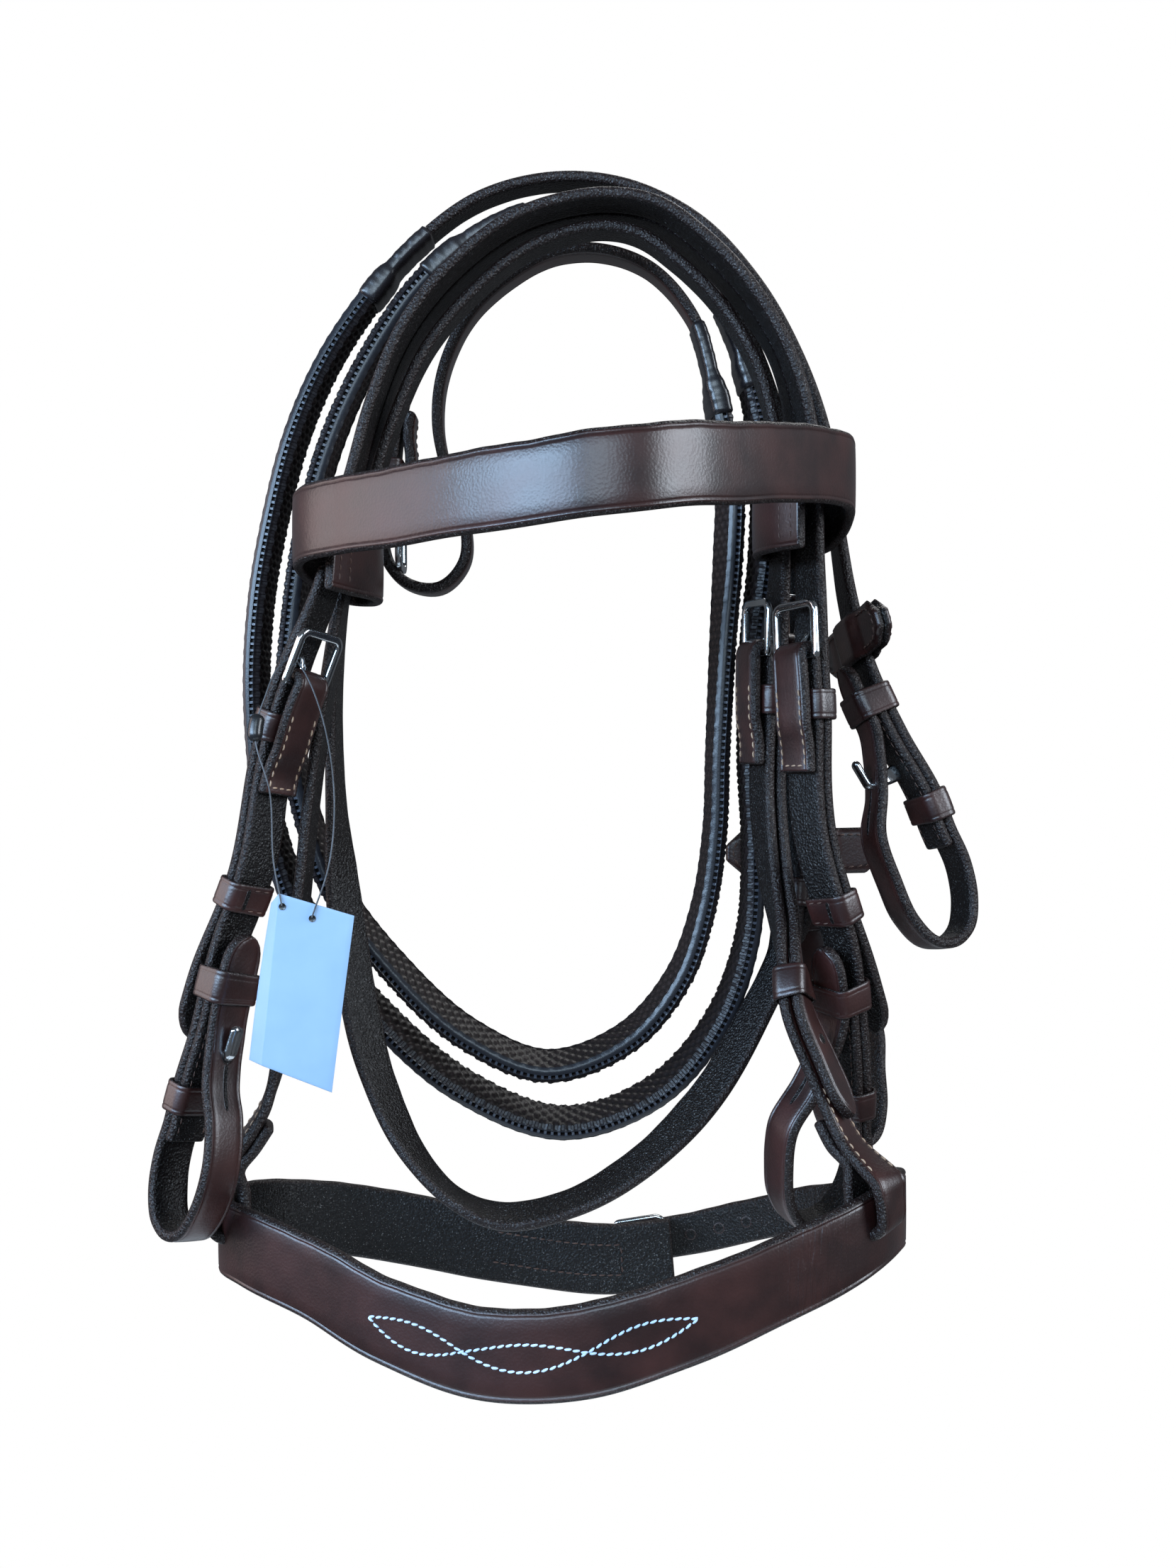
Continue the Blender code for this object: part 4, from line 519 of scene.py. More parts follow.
def wrinkle_height(build, span):
    """Fine wrinkles across a strap: noise drawn out along Z, kept to a span of X that eases at both
    ends, from span's first value to its second and from its third to its fourth."""
    place = build.place()
    drawn = build.add("ShaderNodeMapping", {"Vector": place, "Scale": WRINKLE_SCALE})["Vector"]
    lines = build.noise(drawn, 1.0, distortion=WRINKLE_BEND)
    x = build.add("ShaderNodeSeparateXYZ", {0: place})["X"]
    kept = build.math("MULTIPLY", build.scaled(x, *span[:2]), build.scaled(x, *span[2:], 1.0, 0.0))
    return build.math("MULTIPLY", kept, build.scaled(lines, *WRINKLE_SPAN))


def leather_material(name, grain_dark, grain_light, edge, flesh, wrinkled=None):
    """Leather that reads its zone: 0 on the grain side, 0.5 on the cut edge, 1 on the flesh side
    and 2 in a hole or a slit, which is painted near-black as the shade inside it. Only the grain side
    is waxed, and specks of dust lie on the others; wrinkled is a span of X."""
    mat, build, shader = new_material(name, grain_light, WAX_ROUGH)
    grain, zone = build.grain(LEATHER_GRAIN_SIZE), build.zone()
    dyed = build.mixed(build.scaled(grain["Cloud"], *CLOUD_SPAN), grain_dark, grain_light)
    speckle = build.scaled(grain["Fine"], *SPECKLE_SPAN)
    edge_look, flesh_look = (build.mixed(speckle, tuple(c * dark for c in light), light)
                             for dark, light in ((DARK_EDGE_SHARE, edge), (DARK_FLESH_SHARE, flesh)))
    on_edge, on_flesh = build.scaled(zone, *TO_EDGE), build.scaled(zone, *TO_FLESH)
    colour = build.mixed(on_flesh, build.mixed(on_edge, dyed, edge_look), flesh_look)
    specks = build.math("MULTIPLY", build.scaled(grain["Fine"], *DUST_SPAN, 0.0, DUST_SHARE), on_edge)
    colour = build.mixed(specks, colour, DUST)
    # Holes and slits take the painted shade
    build.put(shader["Base Color"], build.mixed(build.scaled(zone, *TO_HOLE), colour, PAINTED_HOLE_SHADE))
    waxed = build.scaled(grain["Cloud"], *WIDE_SPAN, *WAXED_ROUGH)
    build.put(shader["Roughness"], build.math("MULTIPLY_ADD", on_edge, EDGE_ROUGHER, waxed))
    normal = build.bumped(grain["Height"], build.scaled(zone, *TO_COARSE, *GRAIN_BUMP), LEATHER_BUMP)
    if wrinkled:
        normal = build.bumped(wrinkle_height(build, wrinkled), WRINKLE_STRENGTH, WRINKLE_BUMP, normal)
    build.put(shader["Normal"], normal)
    build.put(shader["Coat Weight"], build.scaled(zone, *OFF_WAX, *WAX))
    build.put(shader["Coat Roughness"], WAX_ROUGH)
    build.put(shader["Specular IOR Level"], LEATHER_SHINE)
    return mat


def plain_material(name, dark, light, rough, metallic=0.0, bump=0.0):
    """Plain stuff whose colour and roughness drift with the shared cloud and fine noise."""
    mat, build, shader = new_material(name, light, rough[0], metallic)
    grain = build.grain(PLAIN_GRAIN_SIZE)
    drift = build.scaled(grain["Cloud"], *DRIFT_SPAN)
    build.put(shader["Base Color"], build.mixed(drift, dark, light))
    build.put(shader["Roughness"], build.scaled(grain["Fine"], *WIDE_SPAN, *rough))
    if bump:
        build.put(shader["Normal"], build.bumped(grain["Height"], bump, PLAIN_BUMP))
    return mat


def rubber_material(name, rung, rail, knob, pit_shade):
    """Rubber that reads its zone: -1 on the rungs, whose pale blue-grey is a painted sheen, 0 on the
    smooth rails, whose colour is the rubber's own lightened and blued by painted sheen, 1 on the
    knobs and 2 in the pits and between the knobs, where near-black shade is painted."""
    mat, build, shader = new_material(name, rail, RUBBER_ROUGH[0])
    grain, zone = build.grain(PLAIN_GRAIN_SIZE), build.zone()
    dust = build.scaled(grain["Cloud"], *WIDE_SPAN, *DUSTY_KNOBS)
    knob_look = build.mixed(dust, tuple(c * DARK_KNOB_SHARE for c in knob), knob)
    # Rails and rungs: painted sheen, paler and bluer on the rungs
    smooth = build.mixed(build.scaled(zone, *TO_RUNG_SHEEN), rail, rung)
    raised = build.mixed(build.scaled(zone, *TO_KNOB), smooth, knob_look)
    # Pits and the hollows between knobs take the painted shade
    build.put(shader["Base Color"], build.mixed(build.scaled(zone, *TO_PIT_SHADE), raised, pit_shade))
    build.put(shader["Roughness"], build.scaled(zone, 0.0, 1.0, *RUBBER_ROUGH))
    build.put(shader["Normal"], build.bumped(grain["Height"], RUBBER_STRENGTH, PLAIN_BUMP))
    build.put(shader["Specular IOR Level"], RUBBER_SHINE)
    return mat


# Dark and light of the grain side, the cut edge and the flesh side
HAVANA = ((0.0150, 0.0044, 0.0038), (0.038, 0.0108, 0.0086), (0.018, 0.0100, 0.0088),
          (0.0056, 0.0036, 0.0033))
WRINKLED_SPAN = (0.056, 0.064, 0.078, 0.088)
MATERIALS = {
    "leather": leather_material("havana_leather", *HAVANA),
    "nose_leather": leather_material("creased_leather", *HAVANA, wrinkled=WRINKLED_SPAN),
    # Rubber: the rung colour is painted sheen, the rail colour is the rubber's own with painted sheen, the
    # last colour is painted shade for the pits
    "rubber": rubber_material("moulded_rubber", (0.050, 0.056, 0.072), (0.018, 0.0180, 0.0215),
                              (0.0135, 0.0078, 0.0072), (0.0022, 0.0017, 0.0017)),
    "sleeve": plain_material("smooth_sleeve", (0.008, 0.007, 0.008), (0.015, 0.012, 0.013), (0.24, 0.36)),
    "steel": plain_material("polished_steel", (0.50, 0.53, 0.55), (0.70, 0.73, 0.75), (0.10, 0.19), 1.0),
    "card": plain_material("coated_card", (0.245, 0.37, 0.53), (0.285, 0.415, 0.58), (0.42, 0.55),
                           bump=0.06),
    "string": plain_material("grey_string", (0.030, 0.031, 0.034), (0.085, 0.088, 0.096), (0.45, 0.65),
                             bump=0.5),
    "bead": plain_material("bead_plastic", (0.008, 0.008, 0.009), (0.014, 0.014, 0.015), (0.22, 0.34)),
    "thread_dark": plain_material("brown_thread", (0.050, 0.024, 0.018), (0.110, 0.058, 0.042),
                                  (0.5, 0.7), bump=0.4),
    "thread_tan": plain_material("tan_thread", (0.26, 0.16, 0.10), (0.46, 0.31, 0.21), (0.5, 0.7),
                                 bump=0.4),
    "thread_blue": plain_material("pale_blue_thread", (0.42, 0.56, 0.74), (0.62, 0.76, 0.90),
                                  (0.45, 0.65), bump=0.4),
}


# Surfaces
SHARP_ANGLE = math.radians(50)


def finished(name, mesh, mat, body, nodes):
    """The mesh as a piece that rides a body, in place of frame nodes and with a named material."""
    mesh.materials.append(MATERIALS[mat])
    piece = bpy.data.objects.new(name, mesh)
    bpy.context.collection.objects.link(piece)
    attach(piece, body)
    if nodes:
        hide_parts(*nodes)
    return piece


def solid(name, islands, mat, body, nodes):
    """One piece from closed lofts. Each island is (rings, zones): rings has shape (sections, points,
    3), every ring is a closed loop, and the two end rings are closed by a face. A third value True
    closes the loft on itself instead."""
    verts, zones, starts, loops, base = [], [], [], [], 0
    for island in islands:
        rings, zone = island[:2]
        closed = len(island) > 2 and island[2]
        m, k = rings.shape[:2]
        verts.append(rings.reshape(-1, 3))
        zones.append(np.broadcast_to(zone, (m, k)).reshape(-1))
        i, j = np.meshgrid(np.arange(m if closed else m - 1), np.arange(k), indexing="ij")
        a, b = i * k + j, i * k + (j + 1) % k
        c, d = ((i + 1) % m) * k + (j + 1) % k, ((i + 1) % m) * k + j
        quads = base + np.stack([a, b, c, d], axis=-1).reshape(-1, 4)
        volume = np.sum(np.cross(rings[:-1], rings[1:]) * np.roll(rings[:-1], -1, axis=1))
        if volume > 0:
            quads = quads[:, ::-1]
        caps = []
        if not closed:
            caps = [base + np.arange(k)[::-1], base + (m - 1) * k + np.arange(k)]
            if volume > 0:
                caps = [c[::-1] for c in caps]
        loops += [quads.reshape(-1), *caps]
        starts += [4] * len(quads) + [k] * len(caps)
        base += m * k
    verts, loops = np.concatenate(verts), np.concatenate(loops)
    counts = np.array(starts)
    mesh = bpy.data.meshes.new(name)
    mesh.vertices.add(len(verts))
    mesh.vertices.foreach_set("co", verts.astype(np.float32).ravel())
    mesh.loops.add(len(loops))
    mesh.loops.foreach_set("vertex_index", loops.astype(np.int32))
    mesh.polygons.add(len(counts))
    mesh.polygons.foreach_set("loop_start", np.concatenate([[0], np.cumsum(counts)[:-1]]).astype(np.int32))
    mesh.polygons.foreach_set("use_smooth", np.ones(len(counts), bool))
    mesh.update(calc_edges=True)
    mesh.attributes.new("zone", "FLOAT", "POINT").data.foreach_set(
        "value", np.concatenate(zones).astype(np.float32))
    mesh.set_sharp_from_angle(angle=SHARP_ANGLE)
    return finished(name, mesh, mat, body, nodes)


def quarter_round(share):
    """Height of a quarter circle: 0 at share 0, and 1 from share 1 on."""
    return np.sqrt(1 - (1 - np.clip(share, 0, 1)) ** 2)


def round_square(count, power_x, power_y):
    """Points of sign(cos a) |cos a|^power_x and sign(sin a) |sin a|^power_y, squarer as powers fall."""
    a = np.linspace(0, 2 * math.pi, count, endpoint=False)
    return (np.sign(np.cos(a)) * np.abs(np.cos(a)) ** power_x,
            np.sign(np.sin(a)) * np.abs(np.sin(a)) ** power_y)


def rings_at(stations, x, y):
    """Rings of points x across and y outwards from a path's middle at its stations."""
    p, _, w, n = stations
    return p[:, None] + w[:, None] * x[..., None] + n[:, None] * y[..., None]


def wave(s, waves):
    """Sum of sines: each wave is (height, length, phase)."""
    return sum(h * np.sin(2 * math.pi * s / long + phase) for h, long, phase in waves)


TIP_SHARES = {
    "square": ((0.0, 1.0), (1.0, 1.0)),
    "point": ((0.0, 0.10), (0.04, 0.22), (0.12, 0.38), (0.30, 0.63), (0.55, 0.84), (0.80, 0.96),
              (1.0, 1.0)),
    "arch": ((0.0, 0.12), (0.03, 0.27), (0.10, 0.47), (0.25, 0.72), (0.45, 0.89), (0.70, 0.98),
             (1.0, 1.0)),
}
TIP_STEPS = np.linspace(0, TIP_LONG, 16)
CREASE_IN, CREASE_WIDE, CREASE_DEEP, DOME = 0.0023, 0.0007, 0.00026, 0.00022
CREASE_STEPS = np.array([0.0, 0.35, 0.70, 0.84, 1.0, 1.16, 1.30]) * CREASE_IN
# Half widths, in steps of CREASE_IN, below which the creases move together and grow shallow
CREASE_MOVE, CREASE_FADE = 2.4, 1.6
END_ROUND = 0.0011
END_STEPS = np.array([0.0, 0.08, 0.2, 0.4, 0.7, 1.0]) * END_ROUND
EDGE_ROUND_SHARE, THIN_END_SHARE, LEAST_HALF_SHARE = 0.40, 0.35, 0.25
STRAP_PITCH, POLL_PITCH, THROAT_PITCH = 0.0013, 0.0015, 0.0017
# Waves along the two edges of a strap cut by hand: height, length and phase
LOW_EDGE_WAVES = ((0.00012, 0.041, 0.3),)
HIGH_EDGE_WAVES = ((0.00012, 0.033, 1.1), (0.00006, 0.012, 0))
# Zones that the materials read
GRAIN_SIDE, CUT_EDGE, FLESH_SIDE, IN_HOLE = 0.0, 0.5, 1.0, 2.0


def strap_loft(path, start, end, low, high, thick, tips=("square", "square"), creased=(True, True),
               pitch=STRAP_PITCH):
    """Rings of a leather strap from start to end of a path.

    Across, the grain side is flat with a shallow dome and a crease near each edge, where the
    height drops by a bell curve; the edges are half ellipses and the flesh side is flat. low and
    high are the two edges' places across, each a number or a function of length. Towards an end
    the ring shrinks as a quarter circle rounds it over.
    """
    s = np.unique(np.concatenate([
        np.linspace(start, end, max(3, int((end - start) / pitch))), start + END_STEPS, end - END_STEPS,
        start + TIP_STEPS if tips[0] != "square" else [start],
        end - TIP_STEPS if tips[1] != "square" else [end]]).round(6))
    stations = path.at(s)
    lo, hi = (edge(s) if callable(edge) else np.full(len(s), float(edge)) for edge in (low, high))
    lo, hi = lo + wave(s, LOW_EDGE_WAVES), hi + wave(s, HIGH_EDGE_WAVES)
    mid, half = (lo + hi) / 2, (hi - lo) / 2
    for tip, away in ((tips[0], s - start), (tips[1], end - s)):
        rows = np.array(TIP_SHARES[tip])
        half = half * np.interp(away / TIP_LONG, rows[:, 0], rows[:, 1])
    away = np.minimum(s - start, end - s)
    over = quarter_round(away / END_ROUND)
    r = EDGE_ROUND_SHARE * thick
    half = np.maximum(half - r / 2 * (1 - over), thick * LEAST_HALF_SHARE)[:, None]
    tall = (thick / 2 * (THIN_END_SHARE + (1 - THIN_END_SHARE) * over))[:, None]

    inner = half - r
    drop = np.minimum(1.0, half / (CREASE_MOVE * CREASE_IN))
    left, right = np.maximum(r, CREASE_STEPS * drop) - half, half - np.maximum(r, CREASE_STEPS[::-1] * drop)
    left[:, :1], right[:, -1:] = -inner, inner
    centre = left[:, -1:] + (right[:, :1] - left[:, -1:]) * np.linspace(0, 1, 7)[None, 1:-1]
    x = np.concatenate([left, centre, right], axis=1)
    dome, dent = DOME * (1 - (x / half) ** 2), np.zeros_like(x)
    for wanted, crease_at in ((creased[0], CREASE_IN - half), (creased[1], half - CREASE_IN)):
        if wanted:
            dent += CREASE_DEEP * np.exp(-((x - crease_at) / (CREASE_WIDE / 2)) ** 2)
    fade = np.minimum(1.0, half / (CREASE_FADE * CREASE_IN))
    top = tall + (dome - dent * fade) * over[:, None]
    a = np.radians(np.linspace(90, -90, 8)[None, 1:-1])
    under = inner * np.linspace(1, -1, 7)[None]
    xs = np.concatenate([x, inner + r * np.cos(a), under, -inner - r * np.cos(a[:, ::-1])], axis=1)
    ys = np.concatenate([top, tall * np.sin(a), np.broadcast_to(-tall, under.shape),
                         tall * np.sin(a[:, ::-1])], axis=1)
    rounded = np.full(a.shape[1], CUT_EDGE)
    zone = np.concatenate([np.full(x.shape[1], GRAIN_SIDE), rounded, np.full(under.shape[1], FLESH_SIDE),
                           rounded])
    zone = np.broadcast_to(zone, xs.shape).copy()
    zone[away < END_ROUND / 2] = CUT_EDGE
    return rings_at(stations, xs + mid[:, None], ys), zone


def strap(node, path, width=STRAP_WIDTH, thick=STRAP_THICK, span=None, mat="leather", added=False,
          **options):
    """Leather strap along a path or a span of it, in place of a frame node unless it is added."""
    start, end = span or (0.0, path.length)
    low = (lambda v: -width(v) / 2) if callable(width) else -width / 2
    high = (lambda v: width(v) / 2) if callable(width) else width / 2
    loft = strap_loft(path, start, end, low, high, thick, **options)
    name, nodes = (node, ()) if added else (node + "_leather", [node])
    solid(name, [loft], mat, "bridle", nodes)


def oblong_ring(half_w, half_n, corner, count):
    """Points round a rounded oblong and their outward directions, evenly spaced."""
    corner = min(corner, half_w, half_n)
    a = np.linspace(0, 2 * math.pi, 400, endpoint=False)
    x = np.sign(np.cos(a)) * (half_w - corner) + corner * np.cos(a)
    y = np.sign(np.sin(a)) * (half_n - corner) + corner * np.sin(a)
    closed = np.stack([np.append(x, x[0]), np.append(y, y[0])], axis=1)
    length = np.concatenate([[0], np.cumsum(np.linalg.norm(np.diff(closed, axis=0), axis=1))])
    at = np.linspace(0, length[-1], count, endpoint=False)
    x, y = np.interp(at, length, closed[:, 0]), np.interp(at, length, closed[:, 1])
    around = np.interp(at, length, np.append(a, 2 * math.pi))
    return x, y, np.cos(around), np.sin(around)


KEEPER_STEPS = (0.5, 0.60, 0.66, 0.72, 0.80, 0.90, 0.97, 1)
KEEPER_CREASE_AT, KEEPER_CREASE_WIDE, KEEPER_CREASE_DEEP = 0.66, 0.05, 0.00016


def there_and_back(outward, inward):
    """Values over a profile's outer side and then, without its two ends, back over its inner side."""
    return np.concatenate([outward, inward[::-1][1:-1]])


def keeper(name, path, s, low, high, width=STRAP_WIDTH, body="bridle"):
    """Leather loop: a flat band profile with rounded edges and two creases, carried round a stack
    of straps that reaches from low to high. The profile's height is sqrt(1 - |u|^14) along the
    strap, with bell-shaped dents for the creases."""
    mid, half = (low + high) / 2, (high - low) / 2 + KEEPER_SLACK
    wide = width / 2 + KEEPER_SLACK
    x, y, dx, dy = oblong_ring(wide + KEEPER_WALL / 2, half + KEEPER_WALL / 2, KEEPER_ROUND, 72)
    u = np.array([-v for v in KEEPER_STEPS[::-1]] + [0] + list(KEEPER_STEPS))
    dent = KEEPER_CREASE_DEEP * np.exp(-((np.abs(u) - KEEPER_CREASE_AT) / KEEPER_CREASE_WIDE) ** 2)
    rise = KEEPER_WALL / 2 * np.sqrt(np.clip(1 - np.abs(u) ** 14, 0, 1))
    along, height = there_and_back(u, u), there_and_back(rise - dent, -rise)
    p, t, w, n = path.at(s + along * KEEPER_HIGH / 2)
    rings = ((p + n * mid)[None] + w[None] * (x[:, None] + dx[:, None] * height)[..., None]
             + n[None] * (y[:, None] + dy[:, None] * height)[..., None])
    zone = np.where(np.abs(along) > 0.93, CUT_EDGE, GRAIN_SIDE)
    solid(name + "_leather", [(rings, np.broadcast_to(zone, rings.shape[:2]), True)], "leather", body,
          [name])


SWEPT_PITCH = 0.0004


def swept(points, widths, half_w, half_n, count=14, power=2.6, ease=0.0):
    """Rings of a bar with a superellipse section, |x/a|^p + |y/b|^p = 1, along a line of points."""
    line = Path(points, widths)
    cx, cy = round_square(count, 2 / power, 2 / power)
    s = np.linspace(ease / 10, line.length - ease / 10, max(12, int(line.length / SWEPT_PITCH)))
    s = np.concatenate([[0.0], s, [line.length]])
    scale = np.ones(len(s))
    if ease:
        away = np.minimum(s, line.length - s)
        scale = np.sqrt(np.clip(1 - (1 - np.clip(away / ease, 0, 1)) ** 2, 0.02, 1))
    hw, hn = (np.interp(s / line.length, np.linspace(0, 1, len(half)), half) * scale
              for half in (half_w, half_n))
    return rings_at(line.at(s), hw[:, None] * cx, hn[:, None] * cy)


TONGUE_SHARES = ((0.17, 0.155), (0.33, 0.20), (0.46, 0.29), (0.56, 0.40), (0.635, 0.52), (0.68, 0.62))
TONGUE_EYE_TURN, TONGUE_ROUND, TONGUE_NARROW = (362, 100), 0.0007, 2.6
# The frame's wire is flattened: broader than it is thick, with a squarer section
WIRE_BROAD, WIRE_POWER = 1.22, 0.62


def buckle(label, path, s_bar, inner_width):
    """Round wire bent to a frame with soft corners, and a flattened tongue with an eye on its bar."""
    p, t, w, n = path.at(s_bar)
    centre, up = p - n * BAR_OFF, -t
    wide = inner_width / 2 + 2 * GAP + WIRE / 2
    corners = ((1, 1, BUCKLE_ROUND), (0, 1, BAR_ROUND), (0, -1, BAR_ROUND), (1, -1, BUCKLE_ROUND))
    line = []
    for quarter, (far, way, r) in enumerate(corners):
        a = np.radians(90.0 * quarter + np.linspace(0, 90, 9))
        along = (BUCKLE_LONG - r if far else r) + r * np.cos(a)
        across = (wide - r) * way + r * np.sin(a)
        radius = np.where((far == 0) & (np.cos(a) < -0.8), BAR / 2, WIRE / 2)
        line.append(np.stack([along, across, np.cos(a), np.sin(a), radius], axis=1))
    line = np.concatenate(line)
    radius = line[:, 4]
    out = up * line[:, 2:3] + w * line[:, 3:4]
    broad = np.where(radius > BAR / 2, WIRE_BROAD, 1.0) * radius
    spine = centre + up * line[:, 0:1] + w * line[:, 1:2] + out * (broad - radius)[:, None]
    cx, cy = round_square(20, WIRE_POWER, WIRE_POWER)
    rings = (spine[:, None] + out[:, None] * (broad[:, None] * cx)[..., None]
             + n * (radius[:, None] * cy)[..., None])
    solid(label + "_buckle_frame_steel", [(rings, 0.0, True)], "steel", "bridle",
          [label + "_buckle_frame"])
    eye = BAR / 2 + GAP + TONGUE_THICK / 2
    turn = np.radians(np.linspace(*TONGUE_EYE_TURN, 40))[:, None]
    pts = centre + up * eye * np.cos(turn) + n * eye * np.sin(turn)
    rows = np.array(TONGUE_SHARES)
    reach = np.stack([np.interp(np.linspace(0, 1, 24), np.linspace(0, 1, len(rows)), column)
                      for column in rows.T], axis=1) * BUCKLE_LONG
    pts = np.vstack([pts, centre + up * reach[:, :1] + n * reach[:, 1:]])
    rings = swept(pts, np.tile(w, (len(pts), 1)),
                  (TONGUE_WIDTH / 2, TONGUE_WIDTH / 2, TONGUE_WIDTH / TONGUE_NARROW),
                  (TONGUE_THICK / 2, TONGUE_THICK / 2), ease=TONGUE_ROUND)
    solid(label + "_buckle_tongue_steel", [(rings, 0.0)], "steel", "tongue_" + label,
          [label + "_buckle_tongue"])


STUD_HALF_WIDTHS = (0.0010, 0.0013, 0.0027, 0.0026, 0.0025)
STUD_HALF_THICKS = (0.0034, 0.0028, 0.0014, 0.0013, 0.0013)
STUD_EASE = 0.0018


def hook_stud(name, path, s, base_off, strap_off):
    """Steel stud: a stem out of the chape and a tab bent up along the strap."""
    p, t, w, n = path.at(s)
    far = strap_off + STRAP_THICK / 2 + GAP + STUD_TAB_THICK / 2
    a = np.radians(np.linspace(0, 90, 8))[:, None]
    bend = STUD_TAB_THICK
    stem = p - n * np.linspace(base_off + GAP, far - bend, 6)[:, None]
    turn = p - n * (far - bend + bend * np.sin(a)) - t * bend * (1 - np.cos(a))
    tab = p - n * far - t * np.linspace(bend, STUD_TAB_LONG, 12)[1:, None]
    pts = np.vstack([stem[:-1], turn, tab])
    rings = swept(pts, np.tile(w, (len(pts), 1)), STUD_HALF_WIDTHS, STUD_HALF_THICKS, ease=STUD_EASE)
    solid(name + "_steel", [(rings, 0.0)], "steel", "bridle", [name])


HOLE_RADIUS, STUD_HOLE_RADIUS = 0.0017, 0.0021
# Dish of a punched hole from its middle out: share of the radius, height and zone
HOLE_SHARES = np.array([0.02, 0.55, 0.80, 0.92, 1.06, 1.28, 1.45, 1.30, 0.60, 0.02])
HOLE_HEIGHTS = np.array([0.02, 0.02, 0.03, 0.11, 0.13, 0.06, -0.25, -0.45, -0.45, -0.45]) * 0.001
HOLE_ZONES = np.array([IN_HOLE, IN_HOLE, IN_HOLE, 0.5, 0.4, 0.0, 0.0, 0.5, 0.5, 0.5])


def holes(name, path, lengths, faces, radius=HOLE_RADIUS):
    """Punched holes: a dish painted near-black as the shade inside the hole, in a low rim pressed
    into the leather, on each face named.

    The profile is turned about the face's normal: a flat floor, a step up to the rim and a skirt
    that goes below the surface.
    """
    a = np.linspace(0, 2 * math.pi, 20, endpoint=False)[:, None]
    islands = []
    for s in lengths:
        p, t, w, n = path.at(s)
        for out in faces:
            up = n * math.copysign(1, out)
            base = p + n * (out + (DOME if out > 0 else 0.0))
            rings = (base + up * HOLE_HEIGHTS[:, None, None]
                     + (radius * HOLE_SHARES)[:, None, None] * (t * np.cos(a) + w * np.sin(a)))
            islands.append((rings, HOLE_ZONES[:, None]))
    solid(name, islands, "leather", "bridle", ())


# Section of a slit: place across, height and zone
SLIT_ACROSS = np.array([-1.15, -0.75, -0.42, 0.0, 0.42, 0.75, 1.15, 0.4, -0.4]) * 0.001
SLIT_HEIGHTS = np.array([-0.25, 0.16, 0.03, 0.0, 0.03, 0.16, -0.25, -0.60, -0.60]) * 0.001
SLIT_ZONES = np.array([0.0, 0.3, IN_HOLE, IN_HOLE, IN_HOLE, 0.3, 0.0, 0.5, 0.5])
SLIT_PITCH = 0.0008


def slits(name, rows):
    """Cuts in a face: a line painted near-black as the shade inside the cut, between two raised lips.
    Each row is path, start, end, across, out.
    """
    islands = []
    for path, start, end, across, out in rows:
        u = np.linspace(0, 1, max(12, int((end - start) / SLIT_PITCH)))
        p, t, w, n = path.at(start + (end - start) * u)
        up = n * math.copysign(1, out)
        thin = np.sqrt(np.clip(1 - np.abs(2 * u - 1) ** 8, 0.02, 1))[:, None, None]
        out += DOME if out > 0 else 0.0
        rings = (p[:, None] + n[:, None] * out + w[:, None] * (across + SLIT_ACROSS[None, :, None] * thin)
                 + up[:, None] * SLIT_HEIGHTS[None, :, None])
        islands.append((rings, SLIT_ZONES))
    solid(name, islands, "leather", "bridle", ())


def seam_line(path, s, across, out):
    """Line sewn on a face of a strap: at lengths s, at places across, out from the middle."""
    p, t, w, n = path.at(np.asarray(s, float))
    points = p + w * np.broadcast_to(across, len(p))[:, None] + n * out
    return Path(points, np.cross(n * np.sign(out), np.gradient(points, axis=0)))


SEAM_INSET = 0.0024


def edge_rows(path, start, end, width, out):
    """Sewn lines near both edges of a strap."""
    s = np.linspace(start, end, 40)
    return [seam_line(path, s, way * (width / 2 - SEAM_INSET), out) for way in (-1, 1)]


def cross_row(path, s, low, high, out):
    """Sewn line across a strap."""
    p, t, w, n = path.at(s)
    points = p + w * np.linspace(low, high, 12)[:, None] + n * out
    return Path(points, np.cross(np.tile(n * np.sign(out), (12, 1)), np.tile(w, (12, 1))))


STITCH_SIDES, STITCH_STEPS = 6, np.array([-1.0, -0.82, -0.35, 0.35, 0.82, 1.0])
STITCH_LONG, STITCH_GAP, STITCH_RADIUS, STITCH_LEAN = 0.0023, 0.0010, 0.00034, 0.10
CHAPE_STITCH_RADIUS = 0.00022


